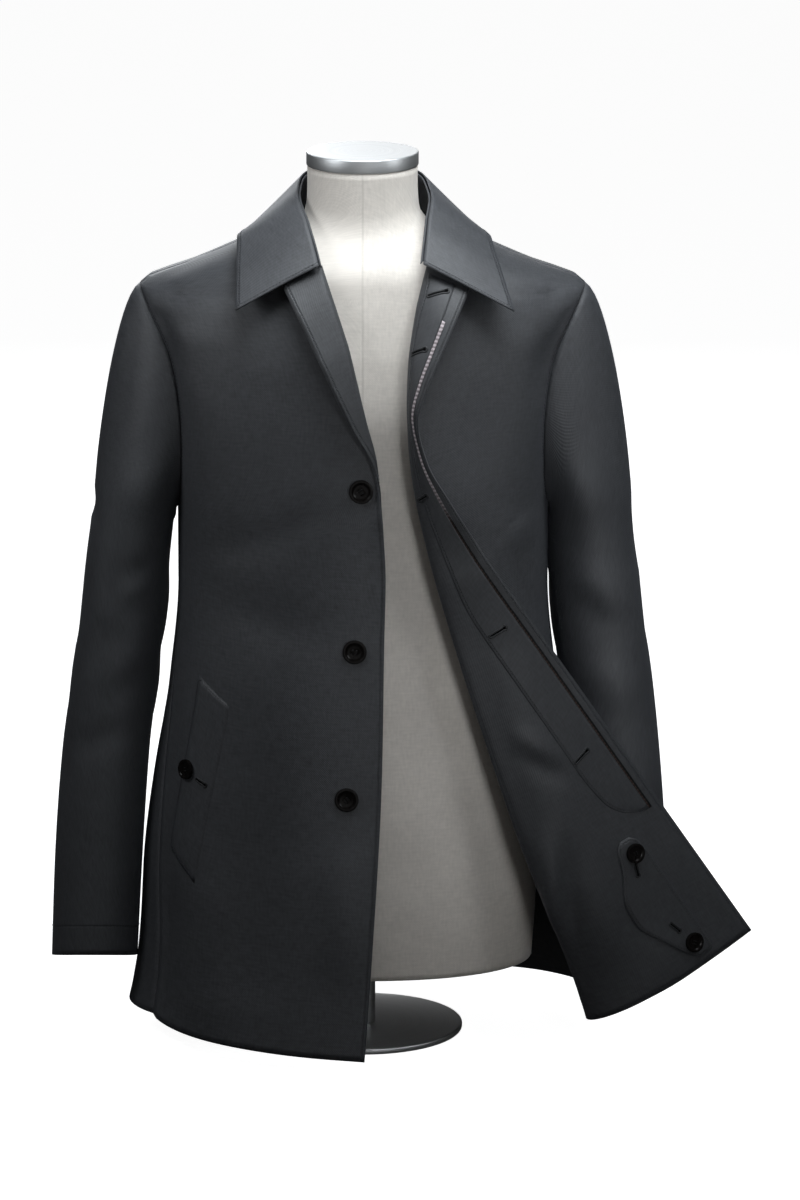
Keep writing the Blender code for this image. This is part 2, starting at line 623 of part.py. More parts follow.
# Dress form and its stand
bm = grid(form_points())
bmesh.ops.holes_fill(bm, edges=[edge for edge in bm.edges if edge.is_boundary], sides=0)
bmesh.ops.recalc_face_normals(bm, faces=bm.faces)
place("form_torso", bm, "linen")
drum("neck_cap", CAP_RADIUS, CAP_BOTTOM, CAP_TOP, 36, 0.0012)
drum("stand_column", COLUMN_RADIUS, BASE_HEIGHT + GAP, TORSO_BOTTOM - GAP, 24, 0.0005)
drum("stand_base", BASE_RADIUS, 0.0, BASE_HEIGHT, 36, 0.0015)
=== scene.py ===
# %% [markdown]
# # A raincoat on a dress form
# The CAD model gives every sewn piece as a plain solid, in metres, with the floor at zero.
# It is loaded first and never moved. Each piece of cloth below takes the place of one of its solids.

# %% Load the frame
import functools
import math

import bmesh
import bpy
import numpy as np
from mathutils import Matrix, Vector
from mathutils.bvhtree import BVHTree


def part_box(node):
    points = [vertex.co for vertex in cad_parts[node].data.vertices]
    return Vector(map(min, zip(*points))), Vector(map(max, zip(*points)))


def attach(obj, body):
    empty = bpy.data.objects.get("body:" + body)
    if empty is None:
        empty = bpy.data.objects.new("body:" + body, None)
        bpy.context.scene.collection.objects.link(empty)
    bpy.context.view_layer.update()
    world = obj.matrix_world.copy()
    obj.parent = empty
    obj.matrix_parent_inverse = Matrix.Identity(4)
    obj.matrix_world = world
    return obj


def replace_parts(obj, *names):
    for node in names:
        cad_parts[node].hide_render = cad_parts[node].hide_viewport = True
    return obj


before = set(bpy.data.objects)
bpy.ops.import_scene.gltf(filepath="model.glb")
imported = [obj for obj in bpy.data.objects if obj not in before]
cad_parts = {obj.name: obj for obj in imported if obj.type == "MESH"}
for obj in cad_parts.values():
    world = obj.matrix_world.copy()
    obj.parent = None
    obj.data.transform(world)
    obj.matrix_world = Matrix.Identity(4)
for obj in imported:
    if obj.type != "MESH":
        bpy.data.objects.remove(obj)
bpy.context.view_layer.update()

bpy.ops.object.select_all(action="DESELECT")
print("CAD nodes:", len(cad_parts))

# %% [markdown]
# A tailor keeps a paper pattern; here the pattern is a set of tables, the same ones that the solids
# were made from. Cloth needs a much closer grid than a solid, so that soft creases have room.

# %% Grid of the cloth
WALL, THIN, GAP = 0.0016, 0.0010, 0.0003
HEM, ARMPIT, SHOULDER, THROAT = 0.037, 0.545, 0.768, 0.800
ARMHOLE_FRONT, ARMHOLE_BACK = 0.052, 0.066
FRONT_DIP, BACK_DIP = 0.025, 0.012
BODY_COLUMNS, LAPEL_COLUMNS, LAPEL_CURL_COLUMNS = 36, 18, 10
FLAP_COLUMNS, BACK_COLUMNS, SLEEVE_COLUMNS, CAP_ROWS = 44, 72, 64, 20
ROW_STEP = 0.0065
FRONT_BUTTON, SMALL_BUTTON = 0.0118, 0.0100


def fine_levels(levels):
    """The same heights with even steps put in between."""
    fine = [levels[0]]
    for low, high in zip(levels, levels[1:]):
        count = max(1, math.ceil(abs(high - low) / ROW_STEP))
        fine += [round(low + (high - low) * k / count, 6) for k in range(1, count + 1)]
    return tuple(fine)


LEVELS = fine_levels((HEM, 0.215, ARMPIT, 0.5463, 0.548, 0.551, 0.555, 0.560, 0.748, 0.755, 0.760,
                      0.764, 0.7665, SHOULDER, THROAT, 0.808, 0.817, 0.824, 0.829))
SLEEVE_LEVELS = fine_levels((0.520, 0.080))
print("rows in a panel:", len(LEVELS), "rows in a sleeve:", CAP_ROWS + len(SLEEVE_LEVELS))

# %% [markdown]
# A table holds the rows of one pattern under named columns, and gives a smooth value between two rows.

# %% A table of a pattern
class Table:
    """Rows under named columns; between rows a column follows a smooth curve that never overshoots."""

    def __init__(self, names, *rows):
        self.names = names.split()
        self.data = np.array(rows, float).T

    def slopes(self, x, y):
        rise = np.diff(y) / np.diff(x)
        same = rise[:-1] * rise[1:] > 0
        total = np.where(same, rise[:-1] + rise[1:], 1.0)
        inner = np.where(same, 2 * rise[:-1] * rise[1:] / total, 0.0)
        return np.concatenate(([rise[0]], inner, [rise[-1]]))

    def at(self, place, name):
        x, y = self.data[0], self.data[self.names.index(name)]
        step, slope = np.diff(x), self.slopes(x, y)
        place = min(max(place, x[0]), x[-1])
        i = min(max(int(np.searchsorted(x, place)) - 1, 0), len(x) - 2)
        t = (place - x[i]) / step[i]
        return float((1 + 2 * t) * (1 - t) ** 2 * y[i] + t * (1 - t) ** 2 * step[i] * slope[i]
                     + t * t * (3 - 2 * t) * y[i + 1] - t * t * (1 - t) * step[i] * slope[i + 1])


class Curve(Table):
    """Places along a line that turns evenly at every row, without corners."""

    def slopes(self, x, y):
        return np.gradient(y, x)


print("kinds of table:", Table.__name__, Curve.__name__)

# %% [markdown]
# The closed coat and the form inside it are two stacks of rings by height. The seams, edges and rolls of
# the fronts are places on the coat's rings.

# %% Body, form and fronts
# The closed coat: half width and the depths in front of and behind the side line.
BODY = Table(
    "height half front back power",
    (0.010, 0.2410, 0.162, 0.150, 2.15),
    (0.050, 0.2310, 0.158, 0.146, 2.15),
    (0.085, 0.2240, 0.155, 0.144, 2.15),
    (0.130, 0.2190, 0.153, 0.142, 2.15),
    (0.180, 0.2160, 0.151, 0.140, 2.15),
    (0.270, 0.2060, 0.147, 0.133, 2.15),
    (0.370, 0.1920, 0.143, 0.123, 2.15),
    (0.470, 0.1830, 0.140, 0.118, 2.15),
    (0.545, 0.1830, 0.140, 0.121, 2.15),
    (0.620, 0.1880, 0.137, 0.123, 2.15),
    (0.700, 0.2000, 0.125, 0.117, 2.15),
    (0.745, 0.2150, 0.110, 0.105, 2.15),
    (0.768, 0.2190, 0.100, 0.097, 2.15),
    (0.790, 0.1670, 0.089, 0.089, 2.10),
    (0.812, 0.1160, 0.078, 0.081, 2.05),
    (0.829, 0.0760, 0.068, 0.073, 2.00),
)

# The dress form, in the same way.
FORM = Table(
    "height half front back power",
    (0.080, 0.1700, 0.110, 0.106, 2.2),
    (0.150, 0.1740, 0.116, 0.112, 2.2),
    (0.250, 0.1720, 0.120, 0.113, 2.2),
    (0.350, 0.1640, 0.120, 0.108, 2.2),
    (0.470, 0.1560, 0.116, 0.104, 2.2),
    (0.560, 0.1600, 0.119, 0.107, 2.2),
    (0.640, 0.1680, 0.120, 0.109, 2.2),
    (0.700, 0.1770, 0.110, 0.103, 2.2),
    (0.745, 0.1930, 0.098, 0.093, 2.15),
    (0.768, 0.2020, 0.092, 0.089, 2.15),
    (0.790, 0.1664, 0.086, 0.087, 2.10),
    (0.812, 0.1080, 0.069, 0.072, 2.05),
    (0.829, 0.0680, 0.058, 0.061, 2.00),
    (0.846, 0.0560, 0.055, 0.056, 2.00),
    (0.870, 0.0545, 0.0545, 0.0545, 2.00),
    (0.887, 0.0545, 0.0545, 0.0545, 2.00),
)

# How far in front of the side line each side seam runs.
SIDE_SEAM = Table(
    "height right left",
    (0.030, -0.078, -0.030),
    (0.200, -0.055, -0.032),
    (0.360, -0.035, -0.026),
    (0.545, 0.0, 0.0),
)

# Neckline on the closed coat, from the throat round to the neck point.
NECKLINE = Table("height x", (0.800, 0.0440), (0.808, 0.0560), (0.818, 0.0670), (0.829, 0.0760))
NECK_EASE, NECK_EASE_RISE = 0.020, 0.020

# Right front: its edge and roll line on the closed coat, and how it turns back there.
RIGHT = Table(
    "height edge_x roll_x turn radius",
    (0.012, 0.0000, -0.0330, 0, 0.0030),
    (0.127, 0.0087, -0.0260, 0, 0.0030),
    (0.320, 0.0195, -0.0150, 0, 0.0030),
    (0.440, 0.0215, -0.0060, 0, 0.0030),
    (0.500, 0.0230, 0.0000, 0, 0.0030),
    (0.550, 0.0208, 0.0045, 10, 0.0030),
    (0.585, 0.0195, 0.0128, 60, 0.0030),
    (0.613, 0.0215, 0.0108, 130, 0.0030),
    (0.655, 0.0225, -0.0005, 160, 0.0040),
    (0.733, 0.0222, -0.0205, 167, 0.0045),
    (0.800, 0.0058, -0.0435, 171, 0.0035),
    (0.808, 0.0058, -0.0455, 171, 0.0035),
)
# How far the lapel's top corner rises, and over what height below the throat.
LAPEL_PEAK, LAPEL_PEAK_RISE = 0.0096, 0.060

# Left front: where it leaves the body, how far it runs on and stands off there, and where its edge is.
LEFT = Table(
    "height roll_x lead stand edge_x edge_y edge_z",
    (0.037, 0.2270, 0.062, 0.058, 0.3910, -0.0300, 0.1100),
    (0.130, 0.2010, 0.055, 0.048, 0.3370, -0.0485, 0.1920),
    (0.230, 0.1700, 0.050, 0.040, 0.2830, -0.0670, 0.2740),
    (0.330, 0.1380, 0.042, 0.033, 0.2294, -0.0890, 0.3566),
    (0.430, 0.1050, 0.032, 0.026, 0.1756, -0.1120, 0.4389),
    (0.530, 0.0740, 0.022, 0.021, 0.1217, -0.1380, 0.5211),
    (0.600, 0.0560, 0.014, 0.018, 0.0840, -0.1520, 0.5830),
    (0.640, 0.0510, 0.011, 0.016, 0.0640, -0.1560, 0.6180),
    (0.675, 0.0490, 0.009, 0.014, 0.0540, -0.1560, 0.6580),
    (0.710, 0.0500, 0.009, 0.013, 0.0620, -0.1490, 0.6900),
    (0.745, 0.0540, 0.009, 0.013, 0.0780, -0.1390, 0.7260),
    (0.775, 0.0590, 0.009, 0.011, 0.0940, -0.1190, 0.7600),
    (0.800, 0.0670, 0.009, 0.007, 0.1060, -0.0990, 0.7845),
)

print("rings of the coat:", BODY.data.shape[1], "of the form:", FORM.data.shape[1])

# %% [markdown]
# A sleeve is given by its inner and outer side at a few heights, and the collar by three lines round the
# neck. The small pieces that are sewn on are given by heights and distances from an edge.

# %% Sleeves, collar and small pieces
# Sleeves below the armpit: the inner and outer side of each, and the middle and half depth front to back.
SLEEVE = Table(
    "height inner_right right inner_left left middle depth",
    (0.080, 0.2295, 0.3130, 0.2295, 0.3080, -0.010, 0.052),
    (0.190, 0.2235, 0.3090, 0.2210, 0.3040, -0.002, 0.056),
    (0.330, 0.2130, 0.2970, 0.2030, 0.2930, 0.006, 0.061),
    (0.440, 0.1990, 0.2810, 0.1900, 0.2790, 0.008, 0.064),
    (0.520, 0.1920, 0.2715, 0.1850, 0.2710, 0.007, 0.066),
)
# How much farther back each sleeve hangs.
SLEEVE_BACK = {"right": 0.0, "left": 0.014}
CUFF_TILT, CUFF_TILT_RISE = 0.26, 0.25

# Sleeve cap: how it leaves the armhole, its seam ease at the top and underarm, and its two handles.
CAP_LEAN, CAP_DROP, CAP_SIDE_DROP = 0.35, 0.60, 0.20
CAP_EASE, UNDERARM_EASE = 0.0004, 0.0012
CAP_HANDLE, TUBE_HANDLE = 0.17, 0.40

# Collar, from the left point round the back to the right point: neck seam, fold and outer edge.
COLLAR = (
    ("station", "seam", "fold", "edge"),
    (0.00, (0.0640, -0.0760, 0.8110), (0.0565, -0.0930, 0.8050), (0.1483, -0.1100, 0.7632)),
    (0.14, (0.0700, -0.0440, 0.8270), (0.0610, -0.0500, 0.8380), (0.1310, -0.0520, 0.8060)),
    (0.30, (0.0768, 0.0000, 0.8312), (0.0630, 0.0000, 0.8620), (0.1200, 0.0000, 0.8190)),
    (0.40, (0.0575, 0.0490, 0.8312), (0.0500, 0.0460, 0.8720), (0.0980, 0.0760, 0.8070)),
    (0.50, (0.0000, 0.0738, 0.8312), (0.0000, 0.0700, 0.8750), (0.0000, 0.0960, 0.8080)),
    (0.60, (-0.0575, 0.0490, 0.8312), (-0.0500, 0.0460, 0.8720), (-0.0980, 0.0760, 0.8070)),
    (0.70, (-0.0768, 0.0000, 0.8312), (-0.0600, 0.0000, 0.8620), (-0.1180, 0.0000, 0.8190)),
    (0.86, (-0.0660, -0.0440, 0.8270), (-0.0510, -0.0520, 0.8380), (-0.1230, -0.0480, 0.8090)),
    (1.00, (-0.0470, -0.0760, 0.8110), (-0.0390, -0.0950, 0.8080), (-0.1232, -0.1105, 0.7643)),
)
COLLAR_COLUMNS, FALL_ROWS, STAND_ROWS = 120, 18, 8
STAND_SHARE, FOLD_RADIUS, FALL_BULGE_AT, FALL_BULGE = 0.97, 0.0030, 0.40, 0.002

# Pocket welt corners: height and distance from the side seam.
POCKET = {"top_outer": (0.392, 0.058), "top_inner": (0.370, 0.098),
          "bottom_outer": (0.213, 0.022), "bottom_inner": (0.188, 0.060)}
POCKET_BUTTON = (0.297, 0.0455)

# Inside of the left front: height and distance from the front edge.
PIPING_WIDTH = 0.0035
FLY = Table(
    "height outer inner",
    (0.205, 0.015, 0.022),
    (0.215, 0.015, 0.042),
    (0.235, 0.015, 0.054),
    (0.275, 0.015, 0.058),
    (0.450, 0.015, 0.057),
    (0.530, 0.015, 0.045),
    (0.600, 0.015, 0.033),
    (0.640, 0.014, 0.0265),
    (0.680, 0.013, 0.0265),
    (0.710, 0.0125, 0.032),
    (0.745, 0.0130, 0.040),
    (0.795, 0.0150, 0.046),
)
FLY_FOOT = (0.205, 0.215, 0.235)
FLY_TOP, PIPING_TOP = 0.795, 0.766
TAB = Table("height inner outer", (0.046, 0.050, 0.060), (0.050, 0.045, 0.067), (0.080, 0.043, 0.086),
            (0.108, 0.043, 0.099), (0.128, 0.043, 0.098), (0.160, 0.043, 0.081), (0.184, 0.046, 0.071),
            (0.190, 0.052, 0.064))
FACING_TRIM = 0.12
LEFT_HEM_SHARE, FLAP_SAG = 0.3, 0.1
TAB_BUTTONS = {"upper": (0.173, 0.057), "lower": (0.063, 0.060)}
FRONT_BUTTONS = ((0.588, -0.0010), (0.427, -0.0075), (0.278, -0.0155))
PLACKET_COLUMNS, TAB_COLUMNS, WELT_ROWS, WELT_COLUMNS = 12, 12, 28, 8
print("rows of the collar:", len(COLLAR) - 1, "of the fly:", FLY.data.shape[1])

# %% [markdown]
# These functions lay a pattern on the rings: a ring is a rounded section, a place on it is a distance
# round from the middle of the front, and a panel is a row of places at each height between its seams.

# %% The closed coat
HALF_STEPS, NEAR = 80, 0.001


@functools.lru_cache(maxsize=None)
def ring(height, shape):
    """Half of a section at a height: x, y and the distance round from the middle of the front."""
    turn = np.linspace(0.0, math.pi, 2 * HALF_STEPS + 1)
    power = 2.0 / shape.at(height, "power")
    depth = np.where(turn < math.pi / 2, shape.at(height, "front"), shape.at(height, "back"))
    x = shape.at(height, "half") * np.abs(np.sin(turn)) ** power
    y = -depth * np.sign(np.cos(turn)) * np.abs(np.cos(turn)) ** power
    run = np.concatenate(([0.0], np.cumsum(np.hypot(np.diff(x), np.diff(y)))))
    return x, y, run


def lay(height, arc):
    """Point of the closed coat at a height and a distance round from the middle of the front."""
    x, y, run = ring(round(height, 6), BODY)
    side, reach = math.copysign(1.0, arc), abs(arc)
    if reach > run[-1]:
        side, reach = -side, 2 * run[-1] - reach
    return np.array((side * np.interp(reach, run, x), np.interp(reach, run, y), height))


def arc_at_x(height, x):
    """Distance round to a place on the front half, given how far it is from the middle."""
    xs, _, run = ring(round(height, 6), BODY)
    return math.copysign(float(np.interp(abs(x), xs[:HALF_STEPS + 1], run[:HALF_STEPS + 1])), x)


def outward(height, arc):
    """Unit normal of the closed coat."""
    across = lay(height, arc + NEAR) - lay(height, arc - NEAR)
    up = lay(height + NEAR, arc) - lay(height - NEAR, arc)
    normal = np.cross(across, up)
    return normal / np.linalg.norm(normal)


def side_edge(height, panel, side):
    """Distance round to the seam beside a panel: side seam, then armhole, then shoulder seam."""
    _, y, run = ring(round(height, 6), BODY)
    if height <= ARMPIT:
        place = SIDE_SEAM.at(height, side)
    elif height < SHOULDER:
        lift = (2 * height - SHOULDER - ARMPIT) / (SHOULDER - ARMPIT)
        place = (-ARMHOLE_FRONT if panel == "front" else ARMHOLE_BACK) * math.sqrt(1 - lift * lift)
    else:
        place = 0.0
    return float(np.interp(place, y, run)) + (-GAP if panel == "front" else GAP) / 2


def dropped(level, dip):
    """Height of a row once the hem's dip has faded out towards the armpit."""
    return level - dip * max(0.0, 1 - (level - HEM) / (ARMPIT - HEM))


print("round the closed coat at the armpit:", round(2 * ring(ARMPIT, BODY)[2][-1], 3), "m")

# %% [markdown]
# The right front turns back on a straight roll line like a page.

# %% Right front
ROLL_PASSES, ROLL_STEP, ROLL_FOOT, ROLL_OVER = 8, 0.002, 0.012, 0.006
LEAST_BEND, MOST_BEND = 0.012, 0.7


def turned_back(height, arc):
    """A point of the right front beyond its roll line, turned back onto the chest."""
    def roll(level):
        return arc_at_x(level, RIGHT.at(level, "roll_x"))

    foot = height
    for _ in range(ROLL_PASSES):
        lean = (roll(foot + ROLL_STEP) - roll(foot - ROLL_STEP)) / (2 * ROLL_STEP)
        foot = min(max(height + (arc - roll(foot)) * lean, ROLL_FOOT), THROAT + ROLL_OVER)
    reach = np.array((arc - roll(foot), height - foot))
    distance = float(np.linalg.norm(reach))
    start = lay(foot, roll(foot))
    step = reach / distance * ROLL_STEP
    ahead = lay(foot + step[1], roll(foot) + step[0]) - start
    ahead /= np.linalg.norm(ahead)
    normal = outward(foot, roll(foot))
    turn, radius = math.radians(RIGHT.at(foot, "turn")), RIGHT.at(foot, "radius")
    angle = min(distance / radius, turn)
    rest = max(0.0, distance - radius * turn)
    return (start + ahead * (radius * math.sin(angle) + rest * math.cos(angle))
            + normal * (radius * (1 - math.cos(angle)) + rest * math.sin(angle)))


def right_points():
    """Rows of the right front, from its side seam to the roll and on to its edge."""
    rows = []
    for level in LEVELS:
        start = -side_edge(level, "front", "right")
        if level <= THROAT:
            roll = arc_at_x(level, RIGHT.at(level, "roll_x"))
            edge = arc_at_x(level, RIGHT.at(level, "edge_x"))
        else:
            roll = edge = arc_at_x(level, -NECKLINE.at(level, "x"))
        row = []
        for k in range(BODY_COLUMNS + 1):
            arc = start + (roll - start) * k / BODY_COLUMNS
            share = (arc - start) / (edge - start) if edge > start else 0.0
            row.append(lay(dropped(level, FRONT_DIP * math.sqrt(max(share, 0.0))), arc))
        curl = RIGHT.at(level, "radius") * math.radians(RIGHT.at(level, "turn"))
        bend = min(max(curl, LEAST_BEND), MOST_BEND * (edge - roll))
        for k in range(1, LAPEL_COLUMNS + 1):
            lift = LAPEL_PEAK * (k / LAPEL_COLUMNS) ** 2 * max(0.0, 1 - (THROAT - level) / LAPEL_PEAK_RISE)
            beyond = max(0, k - LAPEL_CURL_COLUMNS) / (LAPEL_COLUMNS - LAPEL_CURL_COLUMNS)
            reach = bend * min(k / LAPEL_CURL_COLUMNS, 1.0) + (edge - roll - bend) * beyond
            if level > THROAT:
                row.append(row[-1])
            else:
                share = (roll + reach - start) / (edge - start)
                row.append(turned_back(dropped(level, FRONT_DIP * math.sqrt(share)) + lift, roll + reach))
        rows.append(row)
    return np.array(rows)


print("columns in the right front:", BODY_COLUMNS, "and in its lapel:", LAPEL_COLUMNS)

# %% [markdown]
# The left front leaves the body at its own roll, stands off and swings out to its edge, so each row of it
# is one smooth curve. The back lies on the body from seam to seam.

# %% Left front and back
def bezier(points, t):
    """A place on the curve that four points draw."""
    a, b, c, d = points
    return (1 - t) ** 3 * a + 3 * t * (1 - t) ** 2 * b + 3 * t * t * (1 - t) * c + t ** 3 * d


def left_points():
    """Rows of the left front, from its turned-back edge to the roll and on to its side seam."""
    rows = []
    for level in LEVELS:
        start = side_edge(level, "front", "left")
        if level <= THROAT:
            roll = arc_at_x(level, LEFT.at(level, "roll_x"))
        else:
            ease = NECK_EASE * max(0.0, 1 - (level - THROAT) / NECK_EASE_RISE)
            roll = arc_at_x(level, NECKLINE.at(level, "x") + ease)
        roll = min(roll, start)
        body = []
        for k in range(BODY_COLUMNS + 1):
            share = k / BODY_COLUMNS
            height = dropped(level, FRONT_DIP * LEFT_HEM_SHARE * share)
            body.append(lay(height, start + (roll - start) * share))
        leave = body[-1]
        if level <= THROAT:
            onward = leave - lay(leave[2], roll + ROLL_STEP)
            onward /= np.linalg.norm(onward)
            edge = np.array([LEFT.at(level, name) for name in ("edge_x", "edge_y", "edge_z")])
            run_on = leave + onward * LEFT.at(level, "lead")
            stand = run_on + outward(leave[2], roll) * LEFT.at(level, "stand")
            rise = (edge[2] - leave[2]) * np.array((0.0, 0.0, 1.0))
            flap = [bezier((leave, run_on, stand - FLAP_SAG * rise, edge), k / FLAP_COLUMNS)
                    for k in range(1, FLAP_COLUMNS + 1)]
        else:
            flap = [leave] * FLAP_COLUMNS
        rows.append((body + flap)[::-1])
    return np.array(rows)


def back_points():
    """Rows of the back, from the left side seam round to the right one."""
    rows = []
    for level in LEVELS:
        _, _, run = ring(round(level, 6), BODY)
        start = side_edge(level, "back", "left")
        stop = 2 * run[-1] - side_edge(level, "back", "right")
        rows.append([lay(dropped(level, BACK_DIP * (1 - (2 * k / BACK_COLUMNS - 1) ** 2)),
                         start + (stop - start) * k / BACK_COLUMNS) for k in range(BACK_COLUMNS + 1)])
    return np.array(rows)


print("columns in the left front:", BODY_COLUMNS, "and beyond its roll:", FLAP_COLUMNS)

# %% [markdown]
# A sleeve is a tube whose top row is the armhole and whose cap bends over into the hang of the arm. The
# collar runs round the neck from point to point, with a seam, a fold and an outer edge at each station.

# %% Sleeves and collar
def sleeve_points(side):
    """A sleeve, drawn on the right: a cap from the armhole to the first level below it, then a tube."""
    rows = [[] for _ in range(CAP_ROWS + len(SLEEVE_LEVELS))]
    for k in range(SLEEVE_COLUMNS + 1):
        angle = 2 * math.pi * k / SLEEVE_COLUMNS
        y = (ARMHOLE_BACK if math.sin(angle) > 0 else ARMHOLE_FRONT) * math.sin(angle)
        z = (SHOULDER + ARMPIT) / 2 + (SHOULDER - ARMPIT) / 2 * math.cos(angle)
        x, ys, _ = ring(round(z, 6), BODY)
        hole = np.array((-float(np.interp(y, ys, x)), y, z))
        tube = []
        for level in SLEEVE_LEVELS:
            inner, outer = SLEEVE.at(level, f"inner_{side}"), SLEEVE.at(level, side)
            deep = SLEEVE.at(level, "depth") * math.sin(angle)
            tilt = CUFF_TILT * deep * max(0.0, 1 - (level - SLEEVE_LEVELS[-1]) / CUFF_TILT_RISE)
            tube.append(np.array((-(inner + outer) / 2 - (outer - inner) / 2 * math.cos(angle),
                                  SLEEVE.at(level, "middle") + SLEEVE_BACK[side] + deep, level - tilt)))
        chord = float(np.linalg.norm(tube[0] - hole))
        leave = np.array((-1.0, CAP_LEAN * math.sin(angle), -CAP_DROP - CAP_SIDE_DROP * abs(math.sin(angle))))
        leave /= np.linalg.norm(leave)
        start = hole + leave * (CAP_EASE + UNDERARM_EASE * (1 - math.cos(angle)))
        hang = tube[1] - tube[0]
        hang /= np.linalg.norm(hang)
        path = (start, start + leave * CAP_HANDLE * chord, tube[0] - hang * TUBE_HANDLE * chord, tube[0])
        for row in range(CAP_ROWS):
            rows[row].append(bezier(path, row / CAP_ROWS))
        for row, point in enumerate(tube):
            rows[CAP_ROWS + row].append(point)
    return np.array(rows)


def collar_points(part):
    """Rows of the collar's leaf, from its outer edge to the fold, or of its stand, from seam to fold."""
    names, rows = COLLAR[0], COLLAR[1:]
    lines = {}
    for name in names[1:]:
        column = names.index(name)
        kind = Table if name == "seam" else Curve
        line = kind("station x y z", *[(row[0], *row[column]) for row in rows])
        lines[name] = np.array([[line.at(k / COLLAR_COLUMNS, axis) for axis in "xyz"]
                                for k in range(COLLAR_COLUMNS + 1)])
    away = lines["edge"] - lines["fold"]
    away[:, 2] = 0.0
    away /= np.linalg.norm(away, axis=1)[:, None]
    top = lines["fold"]
    if part == "stand":
        return np.array([lines["seam"] + (top - lines["seam"]) * (k / STAND_ROWS) * STAND_SHARE
                         for k in range(STAND_ROWS + 1)])
    start = top + away * FOLD_RADIUS
    bulge = start + (lines["edge"] - start) * FALL_BULGE_AT + away * FALL_BULGE
    grid = []
    for k in range(FALL_ROWS + 1):
        t = k / FALL_ROWS
        grid.append((1 - t) ** 2 * lines["edge"] + 2 * t * (1 - t) * bulge + t * t * start)
    return np.array(grid)


print("columns in a sleeve:", SLEEVE_COLUMNS, "in the collar:", COLLAR_COLUMNS)

# %% [markdown]
# What is sewn onto a front lies at a height and at a distance from its edge. A panel finds that place on
# its own grid, between the grid's points, and the way that the cloth faces there.

# %% Reading a panel
def run_along(line):
    """Distance along a line of points, from its start."""
    return np.concatenate(([0.0], np.cumsum(np.linalg.norm(np.diff(line, axis=0), axis=1))))


def between(at, run, rows):
    """The point or normal at a distance along a line, read between its neighbours."""
    return np.array([np.interp(at, run, rows[:, axis]) for axis in range(3)])


class Panel:
    """A panel's grid, read at a height and at a distance along its row from either end."""

    def __init__(self, points):
        self.points = points[:LEVELS.index(THROAT) + 1]
        normal = np.cross(np.gradient(self.points, axis=1), np.gradient(self.points, axis=0))
        self.normals = normal / np.linalg.norm(normal, axis=2)[:, :, None]

    def at(self, level, distance, lift=0.0, from_end=False):
        """The point there, lifted off the cloth, and the way that the cloth faces."""
        row = min(int(np.searchsorted(LEVELS, level)), len(self.points) - 1)
        low = max(row - 1, 0)
        share = (level - LEVELS[low]) / (LEVELS[row] - LEVELS[low]) if row > low else 0.0
        found = []
        for index in (low, row):
            points, normals = self.points[index], self.normals[index]
            if from_end:
                points, normals = points[::-1], normals[::-1]
            run = run_along(points)
            facing = between(distance, run, normals)
            found.append((between(distance, run, points), facing / np.linalg.norm(facing)))
        point, facing = (found[0][i] * (1 - share) + found[1][i] * share for i in (0, 1))
        facing = facing / np.linalg.norm(facing)
        return point + facing * lift, facing


print("a panel is read up to", THROAT, "m")

# %% [markdown]
# Cloth never hangs flat: it dents where an armhole pulls and rolls in long soft folds where it hangs
# free. Each crease is one row of a table, in millimetres: the side it is seen from, a line down its
# middle, its width, and how far it stands out (or sinks in, with a minus). The wave fades across the line,
# at its ends, where the cloth turns away, and near a seam, because panels that are sewn together have to
# go on meeting there.

